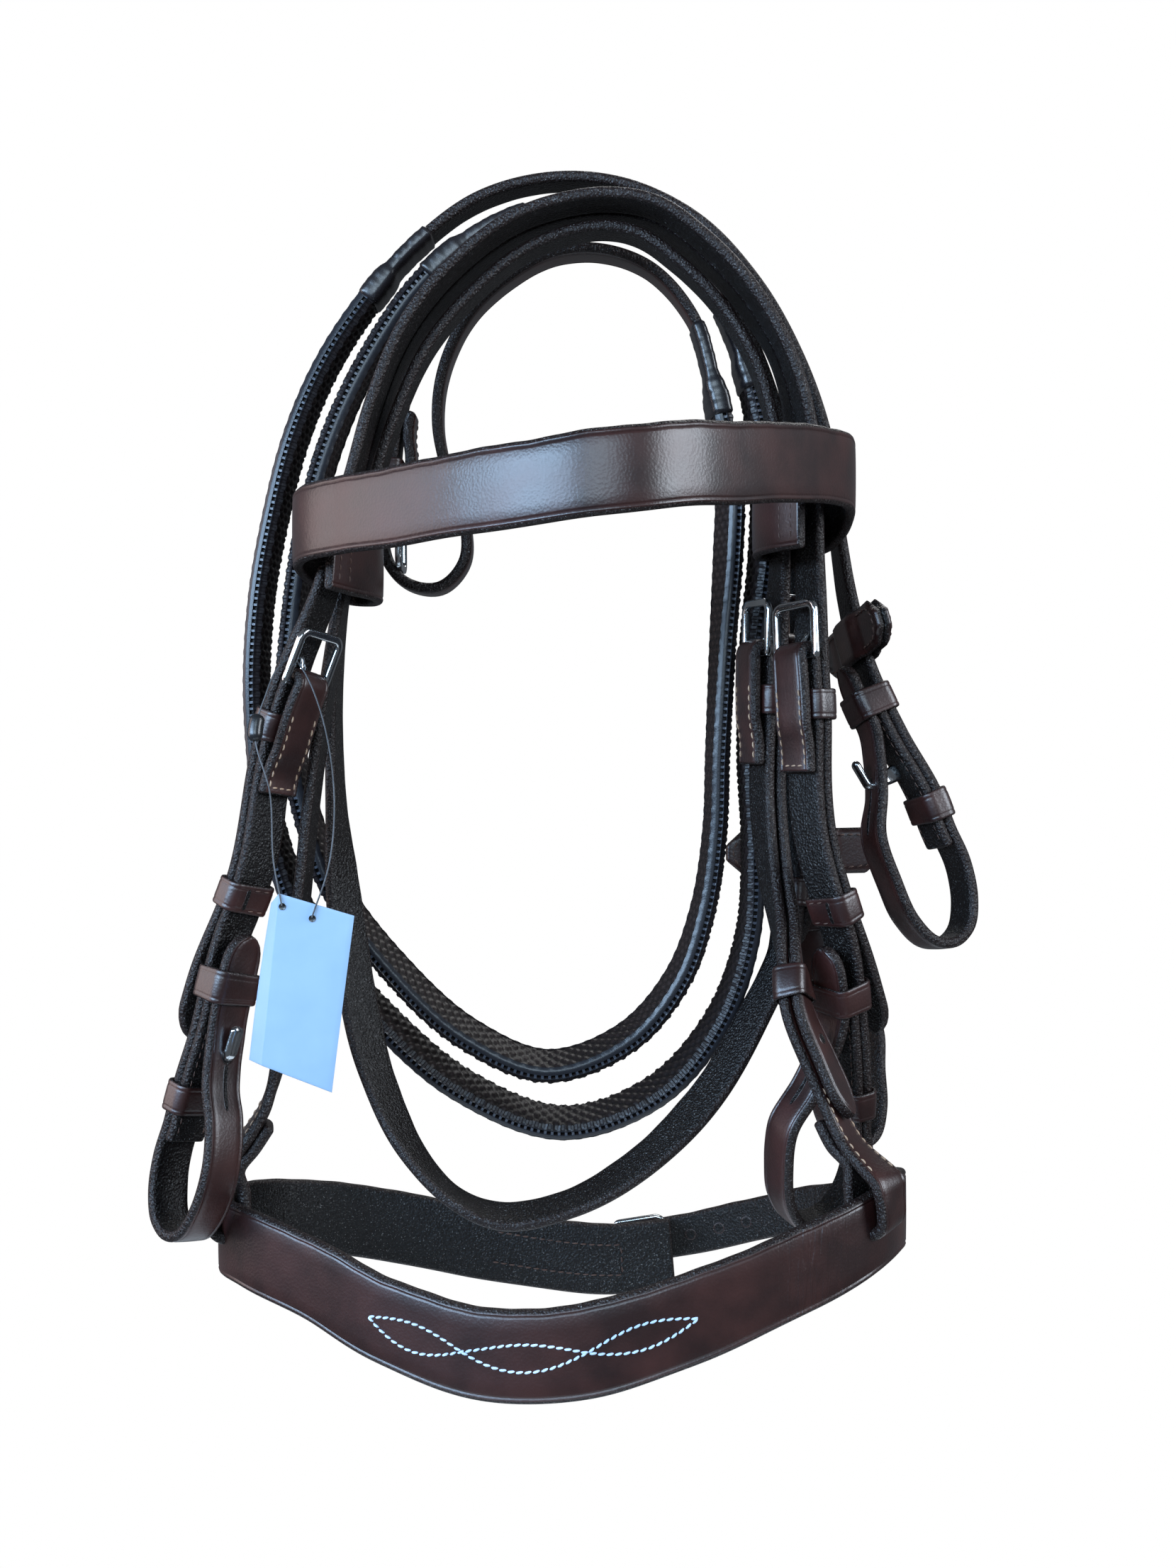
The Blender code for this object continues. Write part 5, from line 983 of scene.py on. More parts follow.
def stitches(name, lines, mat="thread_tan", long=STITCH_LONG, gap=STITCH_GAP, radius=STITCH_RADIUS,
             body="bridle", lean=STITCH_LEAN):
    """Sewn lines: each stitch is a small spindle that dips into the leather at both ends.

    Along it, u goes from -1 to 1, the radius is sqrt(1 - 0.92 u^2) and the height falls as u^4.
    """
    spots = []
    for line in lines:
        count = max(1, round(line.length / (long + gap)))
        spots.append(line.at((np.arange(count) + 0.5) * line.length / count))
    p, t, w, n = (np.concatenate([a[k] for a in spots]) for k in range(4))
    t = unit(t + np.cross(n, t) * lean)
    w = np.cross(n, t)
    u, k, m = STITCH_STEPS, STITCH_SIDES, len(STITCH_STEPS)
    fat = radius * np.sqrt(1 - 0.92 * u**2)
    a = np.arange(k) * 2 * math.pi / k
    centre = (p[:, None] + t[:, None] * (u * long / 2)[:, None]
              + n[:, None] * (radius * (0.60 - 0.8 * u**4))[:, None])
    rings = (centre[:, :, None] + w[:, None, None] * (fat[:, None] * np.cos(a))[..., None]
             + n[:, None, None] * (fat[:, None] * np.sin(a))[..., None])
    i, j = np.meshgrid(np.arange(m - 1), np.arange(k), indexing="ij")
    after = (j + 1) % k
    quads = np.stack([i * k + j, (i + 1) * k + j, (i + 1) * k + after, i * k + after], axis=-1)
    caps = np.stack([np.arange(k), (m - 1) * k + np.arange(k)[::-1]])
    base = np.arange(len(p))[:, None, None] * m * k
    faces = (quads.reshape(-1, 4)[None] + base).reshape(-1, 4).tolist()
    faces += (caps[None] + base).reshape(-1, k).tolist()
    mesh = bpy.data.meshes.new(name)
    mesh.from_pydata(rings.reshape(-1, 3).tolist(), [], faces)
    mesh.polygons.foreach_set("use_smooth", np.ones(len(mesh.polygons), bool))
    finished(name, mesh, mat, body, ())


# Where sewing starts and stops at an end that is turned back round a buckle
SEWN_FROM, SEWN_SHORT = 0.002, 0.011


def turned_rows(path, width, thick):
    """Sewn lines along a turned-back end."""
    return edge_rows(path, SEWN_FROM, TURNED_BACK - SEWN_SHORT, width, thick / 2)


CHAPE_SHARE, CHAPE_SEWN_IN, FOOT_SEWN_IN = 0.96, 0.003, 0.001
SLIT_UP, SLIT_DOWN = 0.019, 0.0015


def added_chape(label, path, loop, up, width, thick):
    """Layer of leather inside the foot of a bit loop, which begins at the length loop of a path and
    reaches up from it; gives the chape's own path."""
    chape = path.cut(loop - up, loop + PAD_DOWN).shift(-thick)
    strap(label + "_chape", chape, width, thick * CHAPE_SHARE, added=True)
    return chape


def studded(label, host, foot, path, chape, after, reach, ups, width, thick):
    """Sewing of the chape, and a stud that stands out of it through a slit above a hole.

    foot is the length on the host at which the loop begins; the turned-back end lies past the
    length after of the path, reach inwards of the host.
    """
    stud_up, chape_up, _ = ups
    lines = edge_rows(chape, CHAPE_SEWN_IN, chape.length - CHAPE_SEWN_IN, width, -thick / 2 * CHAPE_SHARE)
    lines += edge_rows(host, foot - chape_up, foot - FOOT_SEWN_IN, width, thick / 2)
    stitches(label + "_chape_thread", lines, "thread_dark", radius=CHAPE_STITCH_RADIUS)
    p, t, w, n = host.at(foot - stud_up)
    over = after + nearest(path.cut(after, path.length), p - n * reach)
    slits(label + "_stud_slits", [(path, over - SLIT_UP, over - SLIT_DOWN, 0.0, thick / 2)])
    holes(label + "_stud_holes", path, [over], [thick / 2], STUD_HOLE_RADIUS)
    apart = abs(float(np.dot(p - path.at(over)[0], n)))
    hook_stud(label + "_hook_stud", host, foot - stud_up, 1.5 * thick, apart)


def end_keepers(label, host, foot, tip_up, width, thick):
    """Running keeper at the tip of a turned-back end and fixed keeper near its loop."""
    base = -thick / 2
    keeper(label + "_keeper_tip", host, foot - tip_up, -2 * (thick + GAP) + base, -base, width,
           body=label + "_keeper_tip")
    keeper(label + "_keeper_lower", host, foot - LOWER_UP, base - thick, -base, width)


# Crown headpiece: two strips that meet edge to edge over the poll and part at the splits
crown = spline(CROWN_ROUTE)
top = crown.length * 0.5
s_left, s_right = crown.level(SPLIT_LEFT), crown.level(SPLIT_RIGHT, top)
line_left, line_right = crown.cut(0.0, top).back(), crown.cut(top, crown.length)


def branch(s_from, s_to, rows, sign):
    """Path that leaves the rear half of the crown at s_from, past s_to."""
    lead = []
    for k in (0, 0.5, 1):
        p, t, w, n = crown.at(s_to + (s_from - s_to) * k)
        lead.append((*((p + w * REAR_ACROSS) / GRID), *w))
    path = spline(lead + rows, sign)
    return path.cut(nearest(path, np.array(lead[-1][:3]) * GRID), path.length)


rear_right = branch(s_right, s_right - 2 * GRID, six(CROWN_REAR_RIGHT), 1.0)
throat_host = rear_right.shift(-LAYER)
s_throat_bar = throat_host.level(THROAT_BAR)
throat_fold = folded(throat_host, s_throat_bar, TURNED_BACK)[0]
end = throat_host.length
throat_left = branch(s_left, s_left + 2 * GRID, six(THROAT_LEFT) + rows_of(throat_host, end, end - GRID),
                     -1.0)
meet = nearest(throat_left, throat_host.at(end)[0])
throat = join(throat_left.cut(0.0, meet - GAP), throat_fold.back())

CROWN_SEAM = (CROWN_WIDTH - STRAP_WIDTH) / 2
SPLIT_EASE = 0.014
poll = crown.cut(s_left, s_right)
rear_poll = Path(poll.p + poll.w * REAR_ACROSS, poll.w, poll.sign)
rear_line = join(throat.back(), rear_poll, rear_right.cut(GAP, rear_right.length)).eased()
# easing changes lengths a little, so the splits are found on the eased line
poll_from, poll_to = nearest(rear_line, rear_poll.p[0]), nearest(rear_line, rear_poll.p[-1])


def seam(s, start, end, near, far):
    """Edge place that is far between start and end and eases to near outside, as a cosine."""
    away = np.clip(np.maximum(start - s, s - end) / SPLIT_EASE, 0, 1)
    return far + (near - far) * (0.5 - 0.5 * np.cos(math.pi * away))


half_strap = STRAP_WIDTH / 2
crown_line = crown.eased()
front = strap_loft(crown_line, 0.0, crown_line.length, -half_strap,
                   lambda s: seam(s, s_left, s_right, half_strap, CROWN_SEAM), STRAP_THICK,
                   tips=("point", "point"), creased=(True, False), pitch=POLL_PITCH)
rear = strap_loft(rear_line, 0.0, rear_line.length,
                  lambda s: seam(s, poll_from, poll_to, -half_strap, -CROWN_SEAM), half_strap,
                  STRAP_THICK, tips=("square", "point"), creased=(False, True), pitch=THROAT_PITCH)
solid("crown_headpiece_leather", [front, rear], "leather", "bridle", ["crown_headpiece"])
buckle("throatlatch", throat_host, s_throat_bar, STRAP_WIDTH)
keeper("throatlatch_keeper", throat_host, s_throat_bar + KEEPER_BELOW, BASE, LAYER - BASE)
keeper("throatlatch_running_keeper", throat_host, throat_host.length - 2 * KEEPER_HIGH, BASE,
       LAYER - BASE, body="throatlatch_running_keeper")

# Cheekpieces
host_left, host_right = line_left.shift(-LAYER), line_right.shift(-LAYER)
FOLD_EASE = 0.0012
# Sewing of an upper keeper: its half width along the strap, its joint and the rows' two ends
UPPER_ROW_OFF, UPPER_JOINT_HALF, UPPER_JOINT_ACROSS = 0.0037, 0.0038, -0.003
UPPER_ROW_LOW, UPPER_ROW_HIGH = -0.0015, 0.0066
CROSS_AT, CROSS_HALF = 0.0024, 0.0045


def cheekpiece(side_name, host, s_bar, level, more, wide, returns):
    """Cheekpiece with its buckle, bit loop and keepers, led on below a level through more rows."""
    label = "cheek_" + side_name
    host = extend(host, host.level(level), more)
    buckle(label, host, s_bar, STRAP_WIDTH)
    whole, foot = bit_end(host, host.length, CHEEK_LOOP_LONG, wide, returns)
    path = folded(whole, s_bar, TURNED_BACK)[0].eased(FOLD_EASE)
    loop = path.length - whole.length + foot
    strap("cheekpiece_" + side_name, path, tips=("square", "arch"))
    chape = added_chape(label, path, loop, CHEEK_UPS[1], STRAP_WIDTH, STRAP_THICK)
    lines = turned_rows(path, STRAP_WIDTH, STRAP_THICK)
    lines.append(cross_row(path, CROSS_AT, -CROSS_HALF, CROSS_HALF, STRAP_THICK / 2))
    stitches("cheekpiece_" + side_name + "_thread", lines)
    studded(label, host, foot, path, chape, loop + wide, STRAP_WIDTH, CHEEK_UPS, STRAP_WIDTH, STRAP_THICK)
    keeper(label + "_keeper_buckle", host, s_bar + KEEPER_BELOW, BASE, LAYER - BASE)
    upper, name = foot - UPPER_UP, label + "_keeper_upper"
    keeper(name, host, upper, BASE, LAYER - BASE)
    over = KEEPER_SLACK + KEEPER_WALL
    outs = (LAYER - BASE + over, BASE - over)
    rows = [cross_row(host, upper + off, UPPER_ROW_LOW, UPPER_ROW_HIGH, out)
            for out in outs for off in (-UPPER_ROW_OFF, UPPER_ROW_OFF)]
    stitches(name + "_thread", rows, "thread_dark")
    slits(name + "_joint", [(host, upper - UPPER_JOINT_HALF, upper + UPPER_JOINT_HALF,
                             UPPER_JOINT_ACROSS, out) for out in outs])
    end_keepers(label, host, foot, CHEEK_UPS[2], STRAP_WIDTH, STRAP_THICK)


CHEEK_LEFT_MORE = ((-13.1, -3.95, -25.9, 42), (-13.6, -3.9, -27.9, 42), (-14.15, -3.85, -29.7, 42),
                   (-14.5, -3.8, -31.0, 42))
CHEEK_RIGHT_MORE = ((8.6, -3.2, -25.4, -36), (9.0, -2.5, -28.0, -30), (9.2, -2.0, -30.0, -27),
                    (9.25, -1.6, -31.4, -26))


def returning(step, loose, *rows):
    """Rows of a returning end: (length back up, inward offset) in GRID steps. The last row has only
    lengths, at which the end lies a step inwards, loosely at the first of them."""
    ends = ((rows[-1][0], step + loose), *((up, step) for up in rows[-1][1:]))
    return [(up * GRID, off * GRID) for up, off in rows[:-1]] + [(up * GRID, off) for up, off in ends]


LEFT_RETURN = returning(2 * LAYER, GAP, (0.6, 2.15), (1.7, 1.5), (2.9, 1.08), (4.1, 5.3, 6.2, 7.0))
RIGHT_RETURN = returning(2 * LAYER, 2 * GAP, (0.6, 3.1), (1.8, 2.2), (3.0, 1.4), (4.2, 5.3, 6.2, 7.0))
# Height at which each cheekpiece leaves the crown's line, and the width of its bit loop
LEFT_PARTS, LEFT_LOOP_WIDE, RIGHT_PARTS, RIGHT_LOOP_WIDE = -0.243, 0.026, -0.244, 0.033
cheekpiece("left", host_left, host_left.level(CHEEK_BAR_LEFT), LEFT_PARTS, CHEEK_LEFT_MORE,
           LEFT_LOOP_WIDE, LEFT_RETURN)
cheekpiece("right", host_right, host_right.level(CHEEK_BAR_RIGHT), RIGHT_PARTS, CHEEK_RIGHT_MORE,
           RIGHT_LOOP_WIDE, RIGHT_RETURN)

# Noseband
nose = spline(rolled(NOSE_ROUTE))
# Places of the band's front middle, along X, and of its two slits, along Y and along X
NOSE_MIDDLE, SLIT_LEFT_Y, SLIT_RIGHT_X = -0.010, -0.031, 0.093
nose_front = nose.level(NOSE_MIDDLE, nose.length * 0.4, axis=0)
slit_left = nose.level(SLIT_LEFT_Y, axis=1)
slit_right = nose.level(SLIT_RIGHT_X, nose_front, axis=0)


def nose_width(s):
    """Width of the noseband, which swells at the front as a bell curve."""
    return NOSE_WIDTH * (1.0 + NOSE_SWELL_SHARE * np.exp(-((s - nose_front) / (6 * GRID)) ** 2))


strap("noseband_front", nose.eased(), nose_width, NOSE_THICK, mat="nose_leather")
# Where a strap meets the band and where it parts from it, and where its end lies inside, across
WRAP_FAR, WRAP_NEAR, WRAP_BACK = NOSE_WIDTH * 0.62, NOSE_WIDTH * 0.40, NOSE_WIDTH * 0.58
WRAP_CLOSE, WRAP_LONG, WRAP_EASE = 1.2 * GRID, 1.8 * GRID, 0.002


def wrap_end(path, s_band, flip):
    """Strap path led through the band's slit from outside and back up its inner side.

    Gives the whole path and its outer stretch.
    """
    p, t, w, n = nose.at(s_band)
    off = NOSE_THICK / 2 + 7 * GAP + STRAP_THICK / 2
    across = -t if flip else t
    lead = extend(path, path.length - GRID, [(*((p + w * WRAP_FAR + n * off) / GRID), *across)])
    a = np.linspace(0, math.pi, 24)[:, None]
    turn = p + w * (off - off * np.sin(a)) + n * off * np.cos(a)
    pts = np.vstack([[p + w * WRAP_NEAR + n * off], turn, [p + w * WRAP_NEAR - n * off]])
    rows = [(*(q / GRID), *across) for q in (pts[-1], p + w * WRAP_BACK - n * off)]
    for share in (0, 0.5, 1):
        q, _, v, m = lead.at(lead.length - WRAP_CLOSE - WRAP_LONG * share)
        rows.append((*((q - m * LAYER) / GRID), *v))
    back = spline(rows, path.sign)
    mid = Path(pts, np.tile(across, (len(pts), 1)), path.sign)
    return join(lead, mid, back.cut(GAP, back.length)).eased(WRAP_EASE), lead


JOIN_EASE = 0.0015
# Last row of the cheek strap's route and the height of the billet tip's keeper
NOSE_LAST, NOSE_TIP_KEEPER = (8.85, -5.9, -32.1, 31), -0.264
head = spline(HEAD_ROUTE)
mid_head = head.length * 0.5
billet = head.cut(mid_head, head.length)
nose_step = LAYER + 2 * GAP
nose_host = billet.shift(-nose_step)
s_nose_bar = nose_host.level(NOSE_BAR)
nose_host = extend(nose_host, nose_host.length, [NOSE_LAST])
buckle("noseband", nose_host, s_nose_bar, STRAP_WIDTH)
keeper("noseband_keeper", nose_host, s_nose_bar + KEEPER_BELOW, BASE, nose_step - BASE)
keeper("noseband_keeper_tip", nose_host, nose_host.level(NOSE_TIP_KEEPER), BASE, nose_step - BASE,
       body="noseband_keeper_tip")
wrapped, nose_lead = wrap_end(nose_host, slit_right, False)
nose_cheek = folded(wrapped, s_nose_bar, TURNED_BACK)[0].eased(FOLD_EASE)
strap("noseband_cheek_strap", nose_cheek)
left_wrapped, left_lead = wrap_end(head.cut(0.0, mid_head).back(), slit_left, True)
head_strap = join(billet.back(), left_wrapped).eased(JOIN_EASE)
strap("noseband_head_strap", head_strap, tips=("point", "square"))

# Chin strap
chin = spline(rolled(CHIN_ROUTE))
chin_host = chin.shift(-LAYER)
s_chin_bar = chin_host.level(CHIN_BAR, axis=0)
strap("chin_strap", chin, CHIN_WIDTH, tips=("square", "point"))
buckle("chin", chin_host, s_chin_bar, CHIN_WIDTH)
chin_chape, chin_fold_at = folded(chin_host, s_chin_bar, CHAPE_LONG, close=2 * BAR_OFF)
strap("chin_buckle_chape", chin_chape.eased(FOLD_EASE), CHIN_WIDTH, span=(0.0, chin_fold_at + CHAPE_SHORT))
keeper("chin_keeper", chin_host, s_chin_bar + KEEPER_BELOW, BASE, LAYER - BASE, CHIN_WIDTH)

# Browband
brow = spline(rolled(BROW_ROUTE)).eased()
strap("browband", brow, BROW_WIDTH, BROW_THICK)

# Reins
LOOP_FOOT = -0.113
centre = spline(six(REIN_CENTRE) + six(leaning(REIN_ONE, LEAN_ONE)))
s_rein_bar = centre.level(REIN_BAR, centre.level(LOOP_FOOT))
buckle("rein", centre, s_rein_bar, REIN_WIDTH)
rein_fold, rein_fold_at = folded(centre, s_rein_bar, TURNED_BACK)
rein_fold = rein_fold.eased(FOLD_EASE)
ahead = rein_fold_at - s_rein_bar


SLEEVE_PITCH, SLEEVE_EVENED_OVER, LIP_SHARE = 0.0008, 9, 1.1
SLEEVE_POWER_X, SLEEVE_POWER_Y = 0.45, 0.55
# Shallow folds: their height and the lengths of the two waves whose product they follow
SLEEVE_FOLD, SLEEVE_WAVE, SLEEVE_DRIFT = 0.00012, 0.0047, 0.0119


def sleeve(name, path, start, end, sizes):
    """Shrunk sleeve: a rounded oblong ring carried along the rein, whose size eases between rows of
    share, width and depth, with a quarter-round lip at both ends."""
    s = np.linspace(start, end, max(20, int((end - start) / SLEEVE_PITCH)))
    share, rows = (s - start) / (end - start), np.array(sizes)
    kernel = np.hanning(SLEEVE_EVENED_OVER) / np.hanning(SLEEVE_EVENED_OVER).sum()
    wide, deep = (np.convolve(np.pad(np.interp(share, rows[:, 0], rows[:, k]), len(kernel) // 2,
                                     mode="edge"), kernel, mode="valid") for k in (1, 2))
    lip = SLEEVE_WALL * quarter_round(np.minimum(s - start, end - s) / SLEEVE_WALL)
    cx, cy = round_square(44, SLEEVE_POWER_X, SLEEVE_POWER_Y)
    fold = (SLEEVE_FOLD * np.sin(2 * math.pi * s / SLEEVE_WAVE + 1.0)
            * np.sin(2 * math.pi * s / SLEEVE_DRIFT))
    x = (wide / 2 + lip * LIP_SHARE + fold)[:, None] * cx
    y = (deep / 2 + lip + fold)[:, None] * cy
    solid(name + "_smooth", [(rings_at(path.at(s), x, y), 0.0)], "sleeve", "bridle", [name])


RUNG_STEP = 0.0024
RUNG_SHARES = np.array([0.0, 0.36, 0.48, 0.88])
KNOB_LONG, KNOB_ROW, KNOB_HIGH, EDGE_KNOB_HIGH, KNOB_FOOT = 0.0052, 0.0027, 0.00085, 0.00045, 0.35
# The rein's side from its under edge up, as shares of half its thickness, with how far each point
# lies inwards always, between rungs and between the lower rail's notches, and how far it follows
# the outermost knobs
SIDE_RISES = np.array([-0.88, -0.60, -0.38, -0.30, -0.24, -0.16, 0.16, 0.21, 0.50, 0.80, 1.0])
SIDE_INSETS = np.array([11, 3, 1, -2, 1, 2, 2, 0, 0, 6, 14]) * 0.0001
SIDE_PITS = np.array([0, 0, 0, 0, 0, 15, 15, 0, 0, 0, 0]) * 0.0001
SIDE_NOTCHES = np.array([5, 6, 4, 0, 0, 0, 0, 0, 0, 0, 0]) * 0.0001
SIDE_KNOBS = np.array([1.0, 0.2, 0, 0, 0, 0, 0, 0, 0, 0, 0.4])
FACE_SHARES = np.linspace(-0.84, 0.84, 17)
FACE_FALL = ((0, 0.7, 0.84), (1.0, 0.97, 0.90))


def grip(name, path, start, end):
    """Moulded rubber over the rein.

    The ring runs up one side, over the top face, down the other side and back along the under
    face. A side has a smooth rounded rail, a groove that a rung fills once every RUNG_STEP, a thin
    mould line and a lower rail notched in the same step. A face is covered with staggered knobs,
    the square root of the positive part of cos(2 pi v / KNOB_LONG) cos(pi u / KNOB_ROW), and the
    outermost row scallops the outline.
    """
    steps = int((end - start) / RUNG_STEP)
    s = (start + (np.arange(steps)[:, None] + RUNG_SHARES) * RUNG_STEP).ravel()
    s = np.append(s, end)
    rung = np.append(np.tile([1.0, 1.0, 0.0, 0.0], steps), 1.0)[:, None]
    half_w, half_n = GRIP_WIDTH / 2, GRIP_THICK / 2

    def knobs(u):
        """Height of the knobs, 0 to 1, at places u across."""
        wave_along = np.cos(2 * math.pi * s[:, None] / KNOB_LONG)
        return np.sqrt(np.clip(wave_along * np.cos(math.pi * u / KNOB_ROW), 0, 1))

    side_x = half_w - SIDE_INSETS - (SIDE_PITS + SIDE_NOTCHES) * (1 - rung)
    edge_knob = EDGE_KNOB_HIGH * knobs(3 * KNOB_ROW)
    side_y = half_n * SIDE_RISES + SIDE_KNOBS * np.sign(SIDE_RISES) * edge_knob
    u = (FACE_SHARES * half_w)[None]
    face_y = (half_n * np.interp(np.abs(FACE_SHARES), *FACE_FALL)
              + KNOB_HIGH * (knobs(u) - KNOB_FOOT))
    face_x = np.broadcast_to(u, face_y.shape)
    x = np.concatenate([side_x, -face_x, -side_x[:, ::-1], face_x], axis=1)
    y = np.concatenate([side_y, face_y[:, ::-1], side_y[:, ::-1], -face_y], axis=1)
    # Rungs get the painted-sheen zone, and the pits between them the painted-shade zone
    side_zone = np.where(SIDE_PITS > 0, np.where(rung > 0, -1.0, 2.0), np.where(SIDE_NOTCHES > 0, 0.6, 0.0))
    # Between the knobs the zone rises towards the painted shade of the pits
    face_zone = 1.0 + 0.6 * np.clip(KNOB_FOOT - knobs(u), 0, 1) / KNOB_FOOT
    zone = np.concatenate([side_zone, face_zone, side_zone[:, ::-1], face_zone], axis=1)
    solid(name + "_rubber", [(rings_at(path.at(s), x, y), zone)], "rubber", "bridle", [name])


GRIP_STEP_SHARE = SLEEVE_STEP_SHARE + 0.1


def covered(label, path, first, second):
    """Rubber grip between two sleeves; gives where the bare rein ends under each."""
    thin, full = ((wide + 2 * GAP, thick + 2 * GAP) for wide, thick in ((REIN_WIDTH, REIN_THICK),
                                                                      (GRIP_WIDTH, GRIP_THICK)))
    sizes = [(0.0, *thin), (SLEEVE_STEP_SHARE, *thin), (GRIP_STEP_SHARE, *full), (1.0, *full)]
    back = [(1 - share, *size) for share, *size in reversed(sizes)]
    (a0, a1), (b0, b1) = first, second
    sleeve(label + "_sleeve_buckle_end", path, a0, a1, sizes)
    sleeve(label + "_sleeve_bit_end", path, b0, b1, back)
    grip(label + "_grip", path, a0 + (a1 - a0) * GRIP_STEP_SHARE + GAP,
         b1 - (b1 - b0) * GRIP_STEP_SHARE - GAP)
    return a0 + (a1 - a0) * SLEEVE_STEP_SHARE - GAP, b1 - (b1 - b0) * SLEEVE_STEP_SHARE + GAP


# Outline of a stop's end as shares of its half length and half height, and of the sewn row there
STOP_OUTLINE = ((0, 0.78, 0.97, 1.0), (1.0, 1.0, 0.42, 0.30))
STOP_SEAM_SHARES = np.array([(0.42, -1), (0.60, -1), (0.78, -0.94), (0.88, -0.5), (0.91, 0.0), (0.88, 0.5),
                             (0.78, 0.94), (0.60, 1), (0.42, 1)])
STOP_END_SHARES = np.array([-1, -0.995, -0.98, 0.98, 0.995, 1])
STOP_BOW_FLAT, STOP_BOW_FALL, STOP_END_ROUND, STOP_SEAM_IN = 0.006, 0.0085, 0.0012, 0.0026
STOP_THICK = STOP_LAYER * 0.98


def rein_stop(label, path, s):
    """Rein stop: two stitched leathers with pointed ends that bow out round the rein.

    Along the stop, half the height is full to near each end and then falls in a straight line; the
    bow is a cosine bump as wide as the rein.
    """
    p, t, w, n = path.at(s)
    half = STOP_LONG / 2
    u = np.unique(np.concatenate([np.linspace(-half, half, 60), half * STOP_END_SHARES]))
    tall = STOP_HIGH / 2 * np.interp(np.abs(u) / half, *STOP_OUTLINE)
    fall = np.clip((np.abs(u) - STOP_BOW_FLAT) / STOP_BOW_FALL, 0, 1)
    bow = (REIN_THICK / 2 + 2 * GAP) * 0.5 * (1 + np.cos(math.pi * fall))
    v = np.linspace(-1, 1, 13)
    over = np.sqrt(np.clip(1 - np.abs(v) ** 10, 0, 1))
    across, out = there_and_back(v, v), STOP_THICK / 2 * there_and_back(over, -over)
    zone = there_and_back(np.where(np.abs(v) > 0.93, CUT_EDGE, GRAIN_SIDE), np.full(13, FLESH_SIDE))
    near_end = np.clip((np.abs(u) - half + STOP_END_ROUND) / STOP_END_ROUND, 0, 1)
    end_round = np.sqrt(np.clip(1 - near_end**2, 0.05, 1))
    off = bow[:, None] + STOP_THICK / 2 + out[None] * end_round[:, None]
    flat = p + w * u[:, None, None] + t * (tall[:, None] * across)[..., None]
    islands = [(flat + n * (way * (off + GAP / 6))[..., None], zone) for way in (-1, 1)]
    solid(label + "_stop_leather", islands, "leather", label + "_stop", [label + "_stop"])
    lines = []
    for end_way in (-1, 1):
        for way in (-1, 1):
            points = (p + w * (end_way * half * STOP_SEAM_SHARES[:, :1])
                      + t * STOP_SEAM_SHARES[:, 1:] * (STOP_HIGH / 2 - STOP_SEAM_IN)
                      + n * way * (STOP_LAYER + GAP))
            lines.append(Path(points, np.cross(n * way, np.gradient(points, axis=0))))
    stitches(label + "_stop_thread", lines, "thread_dark", body=label + "_stop")


def rein_bit_end(label, path, s_from, long, wide):
    """Bare end of a rein from s_from on, with its bit loop and fittings."""
    whole, foot = bit_end(path, path.length, long, wide, REIN_RETURN)
    body = whole.eased(JOIN_EASE)
    strap(label + "_bit_end", body, REIN_WIDTH, REIN_THICK, span=(s_from, body.length),
          tips=("square", "arch"))
    chape = added_chape(label, whole, foot, REIN_UPS[1], REIN_WIDTH, REIN_THICK)
    studded(label, path, foot, whole, chape, foot + 2 * wide, REIN_WIDTH * 1.1, REIN_UPS, REIN_WIDTH,
            REIN_THICK)
    end_keepers(label, path, foot, REIN_UPS[2], REIN_WIDTH, REIN_THICK)


REIN_RETURN = returning(2 * REIN_LAYER, GAP, (0.7, 2.7), (2.2, 1.9), (3.4, 1.2), (4.3, 5.2, 6.8))
# Heights on the first rein: the top of its first rise, the ends of the sleeve after it, marks on
# the way round, the ends of the second sleeve and the stop
ONE_FIRST_TOP, ONE_SLEEVE, ONE_DOWN, ONE_FOOT = 0.012, (-0.015, -0.046), -0.10, -0.20
ONE_RISE, ONE_TOP, ONE_STOP, ONE_LOOP = -0.013, 0.012, -0.14, (0.039, 0.028)
up_leg = centre.level(ONE_FIRST_TOP, s_rein_bar)
a0, a1 = (centre.level(height, up_leg) for height in ONE_SLEEVE)
far = centre.level(ONE_DOWN, a1)
rise = centre.level(ONE_RISE, centre.level(ONE_FOOT, far - ONE_FOOT))
over_top = centre.level(ONE_TOP, rise)
bare_end, bare_start = covered("rein_one", centre, (a0, a1), (rise, over_top))
strap("rein_one_buckle_end", rein_fold, REIN_WIDTH, REIN_THICK, span=(0.0, bare_end + ahead))
rein_bit_end("rein_one", centre, bare_start, *ONE_LOOP)
rein_stop("rein_one", centre, centre.level(ONE_STOP, over_top))

TWO_SLEEVE, TWO_RISE, TWO_TOP = (-0.022, -0.056), -0.004, 0.020
TWO_STOP, TWO_LOOP = -0.219, (0.036, 0.024)
second = spline(six(leaning(REIN_TWO, LEAN_TWO)))
billet_two = centre.cut(0.0, s_rein_bar + BILLET_OVER).shift(REIN_LAYER).back()
second_path = join(billet_two, second.cut(2 * GAP, second.length))
lead, past_foot = billet_two.length, second.length * 0.4
c0, c1 = second_path.level(TWO_SLEEVE[0], lead * 0.6), lead + second.level(TWO_SLEEVE[1])
rise_two, top_two = (lead + second.level(height, past_foot) for height in (TWO_RISE, TWO_TOP))
bare_end, bare_start = covered("rein_two", second_path, (c0, c1), (rise_two, top_two))
strap("rein_two_buckle_end", second_path, REIN_WIDTH, REIN_THICK, span=(0.0, bare_end),
      tips=("point", "square"))
rein_bit_end("rein_two", second_path, bare_start, *TWO_LOOP)
rein_stop("rein_two", second_path, second_path.level(TWO_STOP, top_two))
